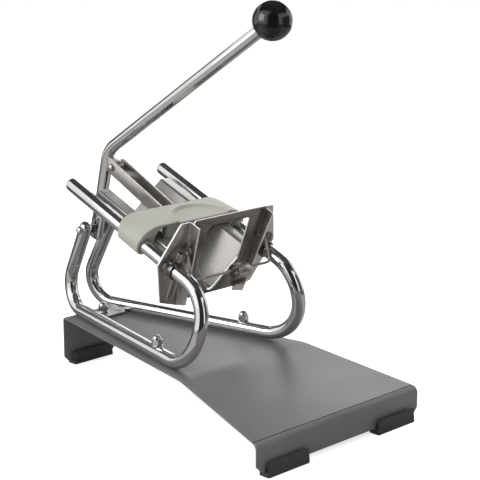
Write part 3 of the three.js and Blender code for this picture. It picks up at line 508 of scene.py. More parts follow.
def turned(name, profile, sides=40, closed=True):
    """A turned piece: a disc, or a ring if it's hollow, grown from one (radius, height) to the next."""
    radius, height = profile[0]
    fill = "NGON" if closed else "NOTHING"
    piece = ring(name, sides, radius=radius, fill_type=fill, location=(0, 0, height))
    grow([(radius, radius, height) for radius, height in profile], closed)
    outward(piece)
    return piece


def placed(piece, place, along):
    """Stands a piece that was made upright at a place, with its axis along a direction."""
    turn = Vector(along).to_track_quat("Z", "X").to_matrix().to_4x4()
    piece.matrix_world = Matrix.Translation(place) @ turn
    fresh()
    only(piece)
    bpy.ops.object.transform_apply()
    return piece


def copy_of(piece, name):
    fresh()
    only(piece)
    bpy.ops.object.duplicate()
    twin = bpy.context.active_object
    twin.name = name
    twin.data.name = name
    return twin


def headed_pin(name, head_radius, head_height, radius, length):
    """A pin with a domed head below its seat at nought, and a chamfered shank above it."""
    crown = []
    for degrees in range(4, 91, 8):
        rise = cos(radians(degrees)) * bolt_head_crown + 1 - bolt_head_crown
        crown.append((head_radius * sin(radians(degrees)), -head_height * rise))
    shank = [(radius, 0), (radius, length - bolt_chamfer), (radius - bolt_chamfer, length), (pole, length)]
    return turned(name, [(pole, -head_height)] + crown + [(head_radius, 0)] + shank)


hex_radius = nut_hex_width / 2 / cos(pi / 6)
barrel_radius = hex_radius + nut_chamfer_slack
nut_top = nut_flange_height + nut_hex_height
cap_nut = turned("cap_nut", [(hex_radius, nut_flange_height * 0.6), (hex_radius, nut_top)], sides=6)
barrel = turned("nut_chamfer", [
    (nut_hex_width / 2, nut_flange_height * 0.5),
    (barrel_radius, nut_flange_height + nut_chamfer),
    (barrel_radius, nut_top - nut_chamfer),
    (nut_hex_width / 2, nut_top + nut_top_slack),
])
combined(cap_nut, barrel, "INTERSECT")
dome = turned("nut_dome", [
    (nut_flange_radius - nut_flange_round, 0),
    (nut_flange_radius, nut_flange_round),
    (nut_flange_radius, nut_flange_height * 0.5),
    (nut_hex_width / 2 - nut_neck_slack, nut_flange_height * 1.15),
    (nut_dome_radius, nut_flange_height * 1.3),
    *arc(0, nut_top, nut_dome_radius, 0, 88, 12),
    (pole, nut_top + nut_dome_radius),
])
combined(cap_nut, dome, "UNION")
soften(cap_nut, nut_edge_round, sharp=28)

rear_nut_seat = plate_bottom + cross_plate_thickness + seat_gap
frame_nut_seat = run_height + bar_radius + seat_gap - nut_sink
head_seat = deck_height - base_sheet - seat_gap
bolted = [
    ("rear", "", rear_bolt_x, 0, rear_nut_seat),
    ("frame", "_left", frame_bolt_x, run_half_span(frame_bolt_x), frame_nut_seat),
    ("frame", "_right", frame_bolt_x, -run_half_span(frame_bolt_x), frame_nut_seat),
]
for kind, side_name, x, y, seat in bolted:
    label = kind + side_name
    bolt = headed_pin(label + "_deck_bolt", bolt_head_radius, bolt_head_height, bolt_radius,
                      seat - head_seat + nut_top)
    placed(bolt, (x, y, head_seat), (0, 0, 1))
    dress(bolt, chrome, "root", "chrome", kind + "_bolt" + side_name)
    nut = placed(copy_of(cap_nut, label + "_deck_nut"), (x, y, seat), (0, 0, 1))
    dress(nut, chrome, "root", "chrome", kind + "_cap_nut" + side_name)

# Lever pivot: a bolt right through both uprights, with a cap nut on the far side and a spacer
# on either side of the lever's eye.
pivot_head_radius = 0.005
pivot_head_height = 0.004
pivot_spacer_radius = 0.006
spacer_chamfer = 0.0006
socket_radius = 0.0017
socket_mouth = -0.006
socket_floor = -0.0022
socket_point = -0.0012
eye_half_thickness = 0.0048
upright_lean = (pivot_span / 2 - run_rear[1]) / (pivot.z - run_height)
pivot_outer = pivot_span / 2 + bar_radius + upright_lean * pivot_head_radius + seat_gap
pivot_inner = pivot_span / 2 - bar_radius - upright_lean * pivot_spacer_radius - seat_gap

pivot_bolt = headed_pin("lever_pivot_bolt", pivot_head_radius, pivot_head_height, bolt_radius,
                        2 * pivot_outer + nut_top)
socket = turned("hex_socket", [
    (socket_radius, socket_mouth), (socket_radius, socket_floor), (pole, socket_point)], sides=6)
combined(pivot_bolt, socket, "DIFFERENCE")
placed(pivot_bolt, (pivot.x, -pivot_outer, pivot.z), (0, 1, 0))
dress(pivot_bolt, chrome, "root", "chrome", "pivot_bolt")
pivot_nut = placed(copy_of(cap_nut, "lever_pivot_nut"), (pivot.x, pivot_outer, pivot.z), (0, 1, 0))
dress(pivot_nut, chrome, "root", "chrome", "pivot_cap_nut")
bpy.data.objects.remove(cap_nut)
for side, side_name in both_sides:
    low = eye_half_thickness + seat_gap
    bore = bolt_radius + seat_gap
    rim = pivot_spacer_radius - spacer_chamfer
    spacer = turned("lever_spacer_" + side_name, [
        (bore, low),
        (rim, low),
        (pivot_spacer_radius, low + spacer_chamfer),
        (pivot_spacer_radius, pivot_inner - spacer_chamfer),
        (rim, pivot_inner),
        (bore, pivot_inner),
        (bore, low),
    ], closed=False)
    placed(spacer, pivot, (0, side, 0))
    dress(spacer, dark_chrome, "root", "dark_chrome", "pivot_spacer_" + side_name)

# Lever: a round chromed bar with its lower end pressed into a flat eye, grooved on both sides,
# and bent over towards the front. It is modelled upright on its pivot and then leaned over.
lever_radius = 0.0072
lever_knee = Vector((0.0437, 0, 0.2696))
lever_knee_radius = 0.034
lever_end_gap = 0.0005
knob_middle = Vector((0.3152, 0, 0.4412))
knob_radius = 0.0213
knob_mouth_radius = 0.0095
knob_bore_depth = 0.014
eye_half_width = 0.010
eye_below = 0.015
eye_neck = (0.010, 0.027)
eye_tip_half_width = 0.005
eye_tip_rounding = 0.0055
eye_tip_thickness = 0.9
eye_swell = 1.25
eye_edge_round = 0.0004
eye_groove_half_width = 0.0016
eye_groove_depth = 0.0017
eye_groove_top = 0.010
eye_groove_bottom = -0.02
eye_groove_round = 0.0012
eye_flat_size = (0.03, 0.010, 0.0432)

lower_heading = (lever_knee - pivot).normalized()
upper_heading = (knob_middle - lever_knee).normalized()
knob_mouth_depth = sqrt(knob_radius ** 2 - knob_mouth_radius ** 2)
lever_lean = atan2(lower_heading.x, lower_heading.z)
knee_angle = lower_heading.angle(upper_heading)
to_lever = Matrix.Translation(pivot) @ Matrix.Rotation(lever_lean, 4, "Y")


def ease(share):
    """Nought to one with a soft start and a soft end."""
    share = min(1, max(0, share))
    return share * share * (3 - 2 * share)


def box(name, middle, size):
    """Adds a box and leaves it open in edit mode, selected."""
    fresh()
    bpy.ops.mesh.primitive_cube_add(size=1, location=middle)
    piece = started(name)
    bpy.ops.transform.resize(value=size, center_override=middle)
    return piece


lever_bar = ring("lever_bent_bar", 40, radius=1, location=(0, 0, -eye_below))
eye_tip = (eye_tip_half_width, eye_half_thickness * eye_tip_thickness, -eye_below)
bpy.ops.transform.resize(value=(eye_tip[0], eye_tip[1], 1), center_override=(0, 0, -eye_below))
eye_rings = [eye_tip]
for step in range(1, 7):
    turn = pi / 2 * step / 6
    eye_rings.append((
        eye_tip_half_width + (eye_half_width - eye_tip_half_width) * sin(turn),
        eye_half_thickness * (eye_tip_thickness + (eye_swell - eye_tip_thickness) * sin(turn)),
        -eye_below + eye_tip_rounding * (1 - cos(turn)),
    ))
for step in range(9):
    share = step / 8
    eye_rings.append((
        eye_half_width + (lever_radius - eye_half_width) * ease(share),
        eye_half_thickness * eye_swell + (lever_radius - eye_half_thickness * eye_swell) * ease(share),
        eye_neck[0] + (eye_neck[1] - eye_neck[0]) * share,
    ))
grow(eye_rings, closed=False)
knee_reach = lever_knee_radius * tan(knee_angle / 2)
knee_start = (lever_knee - pivot).length - knee_reach
extrude_edges(0, 0, knee_start - eye_neck[1])
bpy.ops.mesh.spin(steps=16, angle=-knee_angle, center=(lever_knee_radius, 0, knee_start), axis=(0, 1, 0))
lever_end_depth = knob_bore_depth - lever_end_gap - knob_mouth_depth
upper_length = (knob_middle - lever_knee).length - knee_reach + lever_end_depth
extrude_edges(sin(knee_angle) * upper_length, 0, cos(knee_angle) * upper_length)
bpy.ops.mesh.edge_face_add()
outward(lever_bar)
close_end(lever_bar, Vector((0, 0, -eye_below)), eye_tip_half_width, 0)
for side in (1, -1):
    flat_middle = (0, side * (eye_half_thickness + eye_flat_size[1] / 2), 0)
    combined(lever_bar, box("flat_cutter", flat_middle, eye_flat_size), "DIFFERENCE")
    groove_middle = (0, side * eye_half_thickness, (eye_groove_top + eye_groove_bottom) / 2)
    groove = box("groove_cutter", groove_middle, (
        2 * eye_groove_half_width, 2 * eye_groove_depth, eye_groove_top - eye_groove_bottom))
    bpy.ops.mesh.bevel(offset=eye_groove_round, segments=4)
    combined(lever_bar, groove, "DIFFERENCE")
soften(lever_bar, eye_edge_round, sharp=35)
lever_bar.matrix_world = to_lever
dress(lever_bar, chrome, "lever", "chrome", "lever_bar")

# Ball knob: moulded in glossy black and pressed on the lever's end, with a flat mouth and a
# chamfered bore.
knob_bore_chamfer = 0.0006
knob_mouth_round = 0.0008

black_gloss = finish(
    "black_gloss_moulding", tones=((0.004,) * 3, (0.009,) * 3), stops=(0.35, 0.7), cloud=(60, 3),
    roughness=(0.10, 0.19), relief=[((200, 2), 0.04, 0.0002)],
    Specular_IOR_Level=0.55, Coat_Weight=0.35, Coat_Roughness=0.04)
bore_radius = lever_radius + seat_gap
knob_ball = turned("lever_ball_knob", [
    (pole, knob_bore_depth - knob_mouth_depth),
    (bore_radius, knob_bore_depth - knob_mouth_depth),
    (bore_radius, knob_bore_chamfer - knob_mouth_depth),
    (bore_radius + knob_bore_chamfer, -knob_mouth_depth),
    (knob_mouth_radius - knob_mouth_round, -knob_mouth_depth),
    *arc(0, 0, knob_radius, -62, 88.5, 44),
    (pole, knob_radius),
], sides=64)
placed(knob_ball, knob_middle, upper_heading)
dress(knob_ball, black_gloss, "lever", "black_gloss", "lever_knob")

# Lug: a short flat plate with a rounded eye, welded to the front of the lever. It takes the push
# link's rear pin.
link_rear = Vector((-0.0055, 0, 0.010))
link_front = Vector((0.115, 0, 0.002))
lug_half_thickness = 0.0045
lug_eye_radius = 0.0068
lug_root = 0.016
lug_edge_round = 0.0006


def satin_steel(name, tone, roughness, stretch, shade=0.92):
    """Brushed stainless: fine lines along the way it was rolled, and a cloudy satin under them."""
    lines = (1, 4, 0.65, stretch)
    return finish(
        name, tones=(shaded(tone, shade), tone), cloud=(22, 4, 0.55), grain=lines,
        roughness=(roughness * 0.8, roughness * 1.25), relief=[(lines, 0.01, 0.0001)], Metallic=1.0)


stainless = satin_steel("brushed_stainless", (0.56, 0.545, 0.53), 0.31, (60, 900, 900))
lug_eye = to_lever.inverted() @ (to_rails @ link_rear)
lug_outline = [
    (0, lug_eye.z - lug_root / 2),
    *arc(lug_eye.x, lug_eye.z, lug_eye_radius, -90, 90, 16),
    (0, lug_eye.z + lug_root / 2),
]
lug = slab("link_lug_welded", "Y", lug_outline, -lug_half_thickness, 2 * lug_half_thickness)
soften(lug, lug_edge_round, 3)
lug.matrix_world = to_lever
dress(lug, stainless, "lever", "stainless", "link_lug")

# Push link: an open channel folded from stainless sheet, with round ends and a cut-back web at
# the rear, that swings on the lug's pin and pushes the carriage from inside.
link_half_width = 0.0097
link_sheet = 0.0018
link_above = 0.0082
link_below = 0.0094
link_rear_end = 0.007
link_front_end = 0.0085
link_lower_corner = 0.002
link_web_setback = 0.009
link_fold_radius = 0.0022
link_edge_round = 0.00025
cut_overlap = 0.002

link_reach = link_front - link_rear
link_length = link_reach.length
link_dip = Matrix.Rotation(-atan2(link_reach.z, link_reach.x), 4, "Y")
to_link = to_rails @ Matrix.Translation(link_rear) @ link_dip


def folded(name, line, run, radii):
    """A folded sheet without thickness yet: its section runs along (Y, Z) points, its length along X."""
    fresh()
    bpy.ops.mesh.primitive_plane_add(size=1)
    piece = started(name)
    mesh = bmesh.from_edit_mesh(piece.data)
    for corner in mesh.verts:
        y, z = line[0] if corner.co.y < 0 else line[1]
        corner.co = (run[0] if corner.co.x < 0 else run[1], y, z)
    bmesh.update_edit_mesh(piece.data)
    for (y, z), (next_y, next_z) in zip(line[1:], line[2:]):
        pick(piece, "EDGE", lambda p: abs(p.y - y) + abs(p.z - z) < same_place)
        extrude_edges(0, next_y - y, next_z - z)
    for before, fold, after, radius in zip(line, line[1:], line[2:], radii):
        come = Vector(fold) - Vector(before)
        go = Vector(after) - Vector(fold)
        pick(piece, "EDGE", lambda p: abs(p.y - fold[0]) + abs(p.z - fold[1]) < same_place)
        bpy.ops.mesh.bevel(offset=radius * tan(come.angle(go) / 2), segments=8)
    outward(piece)
    return piece


def rectangle(left, right, low, high):
    return [(left, low), (right, low), (right, high), (left, high)]


def rounded(points, radii, steps=6):
    """A flat outline with its corners rounded, each to its own radius."""
    outline = []
    for i, corner in enumerate(points):
        corner = Vector(corner)
        if radii[i] == 0:
            outline.append(tuple(corner))
            continue
        come = (corner - Vector(points[i - 1])).normalized()
        go = (Vector(points[(i + 1) % len(points)]) - corner).normalized()
        angle = come.angle(go)
        start = corner - come * radii[i] * tan(angle / 2)
        inward = (go - come * go.dot(come)).normalized()
        for step in range(steps + 1):
            turn = angle * step / steps
            outline.append(tuple(start + inward * radii[i] * (1 - cos(turn)) + come * radii[i] * sin(turn)))
    return outline


def with_edges(piece):
    """Gives a sheet its two slots: the first for its faces, the second for its cut edges, which are painted
    near-white as a highlight.
    """
    piece.data.materials.append(stainless)
    piece.data.materials.append(cut_edge_highlight)


def marked_cut(piece, test=lambda normal: True):
    """Puts the faces of a cut in the slot for cut edges."""
    for face in piece.data.polygons:
        if test(face.normal):
            face.material_index = 1
    return piece


# Cut edges: rough raw metal, painted near-white and far lighter than the faces. The lightness is a painted
# highlight along every sheet edge.
edge_grain = (260, 3)
cut_edge_highlight = finish(
    "cut_edge_painted_highlight", tones=((0.74, 0.72, 0.70), (0.90, 0.88, 0.86)), cloud=edge_grain,
    roughness=(0.42, 0.58), relief=[(edge_grain, 0.05, 0.0001)], Metallic=0.55)
channel_half = link_half_width - link_sheet / 2
channel_inner = link_half_width - link_sheet
channel_floor = -link_below + link_sheet / 2
channel_rear = -link_rear_end
channel_front = link_length + link_front_end
channel = folded("push_link_channel", [
    (-channel_half, link_above),
    (-channel_half, channel_floor),
    (channel_half, channel_floor),
    (channel_half, link_above),
], (channel_rear, channel_front), [link_fold_radius, link_fold_radius])
with_edges(channel)
modify(channel, "SOLIDIFY", thickness=link_sheet, offset=0, material_offset_rim=1)
side_view = rounded(
    rectangle(channel_rear, channel_front, -link_below - cut_overlap / 2, link_above),
    [link_lower_corner, link_front_end, link_front_end, link_rear_end], 10)
side_reach = link_half_width + cut_overlap
side_shape = slab("link_side_shape", "Y", side_view, -side_reach, 2 * side_reach)
combined(channel, marked_cut(side_shape), "INTERSECT")
web_view = rectangle(channel_rear - cut_overlap / 2, link_web_setback, -channel_inner, channel_inner)
web_cut = slab("link_web_cut", "Z", web_view, -link_below - cut_overlap, link_below)
combined(channel, marked_cut(web_cut), "DIFFERENCE")
soften(channel, link_edge_round)
channel.matrix_world = to_link
dress(channel, stainless, "link", "stainless", "push_link")

# Pins of the link: at the lug a zinc plated pin with a low domed head and a pressed-on ring,
# inside the carriage a plain pin that stands a little proud of the channel.
link_pin_head_radius = 0.0045
link_pin_head_height = 0.003
link_pin_end = 0.0009
clip_radius = 0.0046
clip_height = 0.0016
clip_chamfer = 0.0005
clip_shoulder = 0.0012
clip_bore = bolt_radius + 0.00005
clip_bore_chamfer = 0.0004
clip_bore_drop = 0.0003
pin_proud = 0.0004
pin_chamfer = 0.0004

pin_zinc = plated_steel("link_pin_zinc", (0.62, 0.61, 0.59), 0.26)
pin_seat = link_half_width + seat_gap
rear_pin = headed_pin("link_pin_domed", link_pin_head_radius, link_pin_head_height, bolt_radius,
                      2 * pin_seat + clip_height + link_pin_end)
placed(rear_pin, to_link @ Vector((0, -pin_seat, 0)), (0, 1, 0))
dress(rear_pin, pin_zinc, "link", "dark_chrome", "link_pin")
rear_clip = turned("link_pin_ring", [
    (clip_bore, 0),
    (clip_radius - clip_chamfer, 0),
    (clip_radius, clip_chamfer),
    (clip_radius - clip_chamfer, clip_shoulder),
    (clip_bore + clip_bore_chamfer, clip_height),
    (clip_bore, clip_height - clip_bore_drop),
    (clip_bore, 0),
], closed=False)
placed(rear_clip, to_link @ Vector((0, pin_seat, 0)), (0, 1, 0))
dress(rear_clip, pin_zinc, "link", "dark_chrome", "link_pin_nut")
front_pin_half = link_half_width + pin_proud
front_pin = turned("carriage_pin_plain", [
    (bolt_radius - pin_chamfer, -front_pin_half),
    (bolt_radius, pin_chamfer - front_pin_half),
    (bolt_radius, front_pin_half - pin_chamfer),
    (bolt_radius - pin_chamfer, front_pin_half),
])
placed(front_pin, to_link @ Vector((link_length, 0, 0)), (0, 1, 0))
dress(front_pin, stainless, "link", "stainless", "carriage_pin")

# Carriage: one saddle moulded in white nylon that bridges both rails. Its roof rises towards the
# front, its rear corners are rounded, and a scoop is let into the front of the roof.
carriage_rear = 0.0935
carriage_front = 0.137
carriage_steps = 32
carriage_crowding = 1.3
carriage_width = 0.163
carriage_rear_top = 0.016
carriage_front_top = 0.0235
carriage_wall = 0.0032
carriage_corner_radius = 0.006
carriage_corner_draw = 0.5
carriage_end_rake = 0.007
carriage_end_reach = 0.018
carriage_shoulder = 0.027
carriage_boss = 0.0122
carriage_rim_round = 0.0013
carriage_edge_round = 0.0006
carriage_bore = 0.0084
carriage_bore_cut = 0.08
scoop_middle = (0.139, 0.012)
scoop_reach = (0.036, 0.040)
scoop_depth = 0.0016
scoop_edge = 0.11
scoop_skin = 0.0015
scoop_fade_start = 0.012
scoop_fade = 0.003
crest_height = 0.0010
crest_place = 1.02
crest_spread = 0.12
trough_rim_rise = 0.0055
trough_fold = (0.040, 0.0063)
trough_floor = -0.046


def carriage_roof(x):
    share = (x - carriage_rear) / (carriage_front - carriage_rear)
    return carriage_rear_top + (carriage_front_top - carriage_rear_top) * share


def scoop(x, y):
    """How far the roof lies lower in the scoop; its rim stands up a little as a crest."""
    far = sqrt(((x - scoop_middle[0]) / scoop_reach[0]) ** 2 + ((y - scoop_middle[1]) / scoop_reach[1]) ** 2)
    crest = crest_height * ease(1 - abs(far - crest_place) / crest_spread)
    return scoop_depth * ease((1 - far) / scoop_edge) - crest


def carriage_section(x):
    """The carriage's outline at x, from the middle of its roof round to the same corner again."""
    lost = max(0, carriage_corner_radius - (x - carriage_rear))
    draw = carriage_corner_radius - sqrt(carriage_corner_radius ** 2 - lost ** 2)
    half = carriage_width / 2 - draw * carriage_corner_draw
    top = carriage_roof(x)
    rail_y = rail_span / 2
    flat = half - carriage_shoulder
    roof = [(flat * step / 26, top) for step in range(26)]
    shoulder = [(flat + carriage_shoulder * y, top * z) for y, z in arc(0, 0, 1, 90, 0, 15)]
    boss_outer = [(rail_y + (half - rail_y) * y, carriage_boss * z) for y, z in arc(0, 0, 1, -9, -90, 9)]
    boss_inner = arc(rail_y, 0, carriage_boss, -99, -180, 9)
    under = top - carriage_wall
    rise = under - trough_fold[1]
    ceiling_end = rail_y - carriage_boss - rise
    haunch = arc(ceiling_end, under - rise, rise, 0, 90, 10)
    ceiling = [(ceiling_end * (1 - step / 16), under) for step in range(1, 17)]
    right = roof + shoulder + boss_outer + boss_inner + haunch + ceiling
    left = [(-y, z) for y, z in reversed(right[1:-1])]
    pull = carriage_end_rake * max(0, 1 - (x - carriage_rear) / carriage_end_reach)
    section = []
    for y, z in right + left:
        if z > top - scoop_skin:
            z -= scoop(x, y) * ease((z - scoop_fade_start) / scoop_fade)
        section.append((x + pull * min(1, max(0, 1 - z / top)), y, z))
    return section


def close_rims(piece):
    """Puts a face in every open rim."""
    bpy.ops.mesh.select_mode(type="EDGE")
    bpy.ops.mesh.select_all(action="DESELECT")
    bpy.ops.mesh.select_non_manifold()
    bpy.ops.mesh.edge_face_add()
    outward(piece)


def drill(piece, radius, place, turn, depth, sides):
    """Drills a round hole."""
    fresh()
    bpy.ops.mesh.primitive_cylinder_add(
        vertices=sides, radius=radius, depth=depth, location=place, rotation=turn)
    combined(piece, bpy.context.active_object, "DIFFERENCE")


nylon = finish(
    "white_nylon", tones=((0.31, 0.303, 0.262), (0.36, 0.356, 0.318)), cloud=(16, 4, 0.55),
    roughness=(0.34, 0.46), relief=[((420, 3), 0.07, 0.0002)], Specular_IOR_Level=0.45,
    Subsurface_Weight=0.3, Subsurface_Scale=0.004, Subsurface_Radius=(1.0, 0.85, 0.6))
carriage_length = carriage_front - carriage_rear
sections = [carriage_section(carriage_rear + carriage_length * (step / carriage_steps) ** carriage_crowding)
            for step in range(carriage_steps + 1)]
carriage = ring("carriage_saddle", len(sections[0]))
for number, section in enumerate(sections):
    if number:
        bpy.ops.mesh.extrude_edges_move()
    mesh = bmesh.from_edit_mesh(carriage.data)
    mesh.verts.ensure_lookup_table()
    for corner, point in zip(mesh.verts[-len(section):], section):
        corner.co = point
    bmesh.update_edit_mesh(carriage.data)
close_rims(carriage)
bpy.ops.object.mode_set(mode="EDIT")
bpy.ops.mesh.select_all(action="DESELECT")
bpy.ops.mesh.select_face_by_sides(number=4, type="GREATER")
bpy.ops.mesh.region_to_loop()
bpy.ops.mesh.bevel(offset=carriage_rim_round, segments=5)
for side in (1, -1):
    bore_middle = ((carriage_rear + carriage_front) / 2, side * rail_span / 2, 0)
    drill(carriage, carriage_bore, bore_middle, (0, pi / 2, 0), carriage_bore_cut, 64)
soften(carriage, carriage_edge_round, 3, 60)
carriage.matrix_world = to_rails
dress(carriage, nylon, "carriage", "white_nylon", "carriage", smooth=45)

# Pusher: a nylon block that fills the trough's V under the carriage, with two cheeks that take
# the push link between them.
pusher_rear = 0.1265
pusher_front = 0.1325
pusher_clearance = 0.0008
pusher_round = 0.0009
pusher_corners = [0.005, 0.001, 0.003, 0.003, 0.001]
cheek_thickness = 0.004
cheek_rear = 0.103
cheek_below = 0.013
cheek_clearance = 0.0007
cheek_corner = 0.003
cheek_overlap = 0.001
trough_sheet = 0.0015

trough_slope = atan2(trough_fold[1] - trough_floor, trough_fold[0])
pusher_inset = (trough_sheet / 2 + pusher_clearance) / sin(trough_slope)
pusher_top = carriage_roof(pusher_rear) - carriage_wall - seat_gap
pusher_shoulder = (trough_fold[1] - trough_floor) / tan(trough_slope) - pusher_inset
block_outline = rounded([
    (0, trough_floor + pusher_inset * tan(trough_slope)),
    (pusher_shoulder, trough_fold[1]),
    (pusher_shoulder, pusher_top),
    (-pusher_shoulder, pusher_top),
    (-pusher_shoulder, trough_fold[1]),
], pusher_corners)
pusher = slab("pusher_block", "X", block_outline, pusher_rear, pusher_front - pusher_rear)
cheek_inner = link_half_width + cheek_clearance
cheek_top = carriage_roof(cheek_rear) - carriage_wall - seat_gap
cheek_outline = rounded(
    rectangle(cheek_rear, pusher_rear + cheek_overlap, -cheek_below, cheek_top),
    [cheek_corner, 0, 0, cheek_corner])
for side in (1, -1):
    cheek = slab("pusher_cheek", "Y", cheek_outline, side * cheek_inner, side * cheek_thickness)
    combined(pusher, cheek, "UNION")
soften(pusher, pusher_round, 3)
pusher.matrix_world = to_rails
dress(pusher, nylon, "carriage", "white_nylon", "pusher")

# Trough: one stainless sheet folded to a V with level rims, notched at the front where the side
# brackets pass.
trough_rear = 0.030
trough_rim_half = 0.0545
trough_lip = (0.0541, -0.0008)
trough_lip_radius = 0.0018
trough_fold_radius = 0.003
trough_floor_radius = 0.006
notch_length = 0.02
notch_bottom = -0.01
notch_height = 0.03
notch_outer = 0.08
frame_sheet = 0.002
sheet_edge_round = 0.0003
bracket_rail = 0.1802
bracket_top_inner = 0.056
bracket_top = 0.054
bracket_foot_inner = 0.043
bracket_foot = -0.057
plate_front_rail = 0.1855


def guide_line(rise):
    """How far the guide wall of a side bracket stands from the middle at a height."""
    share = (bracket_top - rise) / (bracket_top - bracket_foot)
    return bracket_top_inner + (bracket_foot_inner - bracket_top_inner) * share


half_trough = [trough_lip, (trough_rim_half, trough_rim_rise), trough_fold]
trough_line = [(-y, z) for y, z in half_trough] + [(0, trough_floor)] + half_trough[::-1]
trough_run = (trough_rear, plate_front_rail - frame_sheet - seat_gap)
trough = folded("trough_folded_sheet", trough_line, trough_run, [
    trough_lip_radius, trough_fold_radius, trough_floor_radius, trough_fold_radius, trough_lip_radius])
with_edges(trough)
modify(trough, "SOLIDIFY", thickness=trough_sheet, offset=0, material_offset_rim=1)
notch_rear = bracket_rail - frame_sheet / 2 - seat_gap
notch_inner = guide_line(trough_rim_rise) - frame_sheet - seat_gap
for side in (1, -1):
    notch_view = rectangle(notch_rear, notch_rear + notch_length, side * notch_inner, side * notch_outer)
    notch = slab("trough_notch", "Z", notch_view, notch_bottom, notch_height)
    combined(trough, marked_cut(notch), "DIFFERENCE")
soften(trough, sheet_edge_round)
trough.matrix_world = to_rails
dress(trough, stainless, "root", "stainless", "trough")

# Blade frame: a stamped plate between the two guide walls. Its window has rounded corners and a
# V below that follows the trough.
frame_plate_top = 0.058
frame_plate_bottom = -0.047
frame_plate_corner = 0.003
window_half = 0.031
window_top = 0.0475
window_slack = 0.0002
window_corner = 0.003

# The blade frame's stainless is painted far darker than the other stainless parts: this is painted shade.
shaded_frame_steel = satin_steel("brushed_stainless_painted_shade", (0.28, 0.267, 0.257), 0.30, (500, 80, 500))
plate_rear_rail = plate_front_rail - frame_sheet
plate_gap = frame_sheet / 2 + seat_gap
plate_top_half = guide_line(frame_plate_top) - plate_gap
plate_bottom_half = guide_line(frame_plate_bottom) - plate_gap
plate_outline = rounded([
    (-plate_top_half, frame_plate_top),
    (-plate_bottom_half, frame_plate_bottom),
    (plate_bottom_half, frame_plate_bottom),
    (plate_top_half, frame_plate_top),
], [frame_plate_corner] * 4)
blade_frame = slab("blade_frame_plate", "X", plate_outline, plate_rear_rail, frame_sheet)
window_floor = trough_floor - trough_sheet / 2 / cos(trough_slope) - window_slack
window_shoulder = window_floor + window_half * tan(trough_slope)
window_outline = rounded([
    (-window_half, window_top),
    (-window_half, window_shoulder),
    (0, window_floor),
    (window_half, window_shoulder),
    (window_half, window_top),
], [window_corner, window_corner, trough_floor_radius, window_corner, window_corner], 8)
window_depth = frame_sheet + 2 * cut_overlap
window = slab("window_cut", "X", window_outline, plate_rear_rail - cut_overlap, window_depth)
with_edges(blade_frame)
marked_cut(blade_frame, lambda normal: abs(normal.x) < 0.5)
combined(blade_frame, marked_cut(window), "DIFFERENCE")
soften(blade_frame, sheet_edge_round)
blade_frame.matrix_world = to_rails
dress(blade_frame, shaded_frame_steel, "root", "stainless", "blade_frame")

# Side brackets: each is a flat wing that is clamped on its rail, with its inner edge folded
# forward as a guide wall and two ribs pressed into its leg.
bracket_top_outer = 0.070
bracket_waist = (0.089, 0.005)
bracket_foot_outer = (0.070, -0.048)
bracket_corner = 0.003
bracket_fold_radius = 0.0022
bracket_drill_depth = 0.03
guide_depth = 0.014
guide_foot_cut = 0.009
rib_width = 0.003
rib_depth = 0.0014
rib_round = 0.001
rib_bottom = -0.047
rib_top = -0.016
rib_places = (0.052, 0.061)
rail_hole_radius = bar_radius + seat_gap
bail_hole_radius = 0.0018
bail_pivot = Vector((0.1885, 0, 0.022))

bracket_steel = satin_steel("bracket_stainless", (0.66, 0.635, 0.615), 0.31, (60, 400, 900))
for side, side_name in both_sides:
    wing_outline = rounded([
        (side * guide_line(bracket_top), bracket_top),
        (side * bracket_top_outer, bracket_top),
        (side * bracket_waist[0], bracket_waist[1]),
        (side * bracket_foot_outer[0], bracket_foot_outer[1]),
        (side * guide_line(bracket_foot), bracket_foot),
    ], [0, bracket_corner, bracket_corner, bracket_corner, 0])
    bracket = flat_piece("side_bracket_sheet_" + side_name, [(bracket_rail, y, z) for y, z in wing_outline])
    on_fold = lambda p: abs(side * p.y - guide_line(p.z)) < same_place
    pick(bracket, "EDGE", on_fold)
    extrude_edges(guide_depth + frame_sheet / 2, 0, 0)
    pick(bracket, "VERT", lambda p: p.x > bracket_rail + guide_depth / 2 and p.z < bracket_foot + same_place)
    inwards = guide_line(bracket_foot + guide_foot_cut) - guide_line(bracket_foot)
    move(0, side * inwards, guide_foot_cut)
    pick(bracket, "EDGE", lambda p: on_fold(p) and abs(p.x - bracket_rail) < same_place)
    bpy.ops.mesh.bevel(offset=bracket_fold_radius, segments=6)
    outward(bracket)
    with_edges(bracket)
    modify(bracket, "SOLIDIFY", thickness=frame_sheet, offset=0, material_offset_rim=1)
    for rib_y in rib_places:
        rib_middle = (bracket_rail + frame_sheet / 2, side * rib_y, (rib_bottom + rib_top) / 2)
        rib = box("leg_rib", rib_middle, (2 * rib_depth, rib_width, rib_top - rib_bottom))
        bpy.ops.mesh.bevel(offset=rib_round, segments=4)
        combined(bracket, rib, "UNION")
    rail_hole = (bracket_rail, side * rail_span / 2, 0)
    drill(bracket, rail_hole_radius, rail_hole, (0, pi / 2, 0), bracket_drill_depth, 48)
    bail_hole = (bail_pivot.x, side * guide_line(bail_pivot.z), bail_pivot.z)
    drill(bracket, bail_hole_radius, bail_hole, (pi / 2, 0, 0), bracket_drill_depth, 24)
    soften(bracket, sheet_edge_round)
    bracket.matrix_world = to_rails
    dress(bracket, bracket_steel, "root", "stainless", "side_bracket_" + side_name)

# Clamp collars: a ring on each rail in front of the bracket, held by a knurled screw that leans
# inwards a little.
collar_rear = 0.187
collar_width = 0.005
collar_radius = 0.01025
collar_chamfer = 0.0005
collar_bore_chamfer = 0.0003
collar_hole_round = 0.0002
screw_radius = 0.002
screw_length = 0.013
screw_chamfer = 0.0003
screw_neck_radius = 0.0036
screw_neck_height = 0.0004
screw_head_radius = 0.0050
screw_head_height = 0.0075
screw_head_edge = 0.0006
screw_tilt = radians(8)
screw_hole_start = 0.004
screw_hole_end = 0.02
knurl_count = 18
knurl_depth = 0.0006
knurl_band = 0.0001

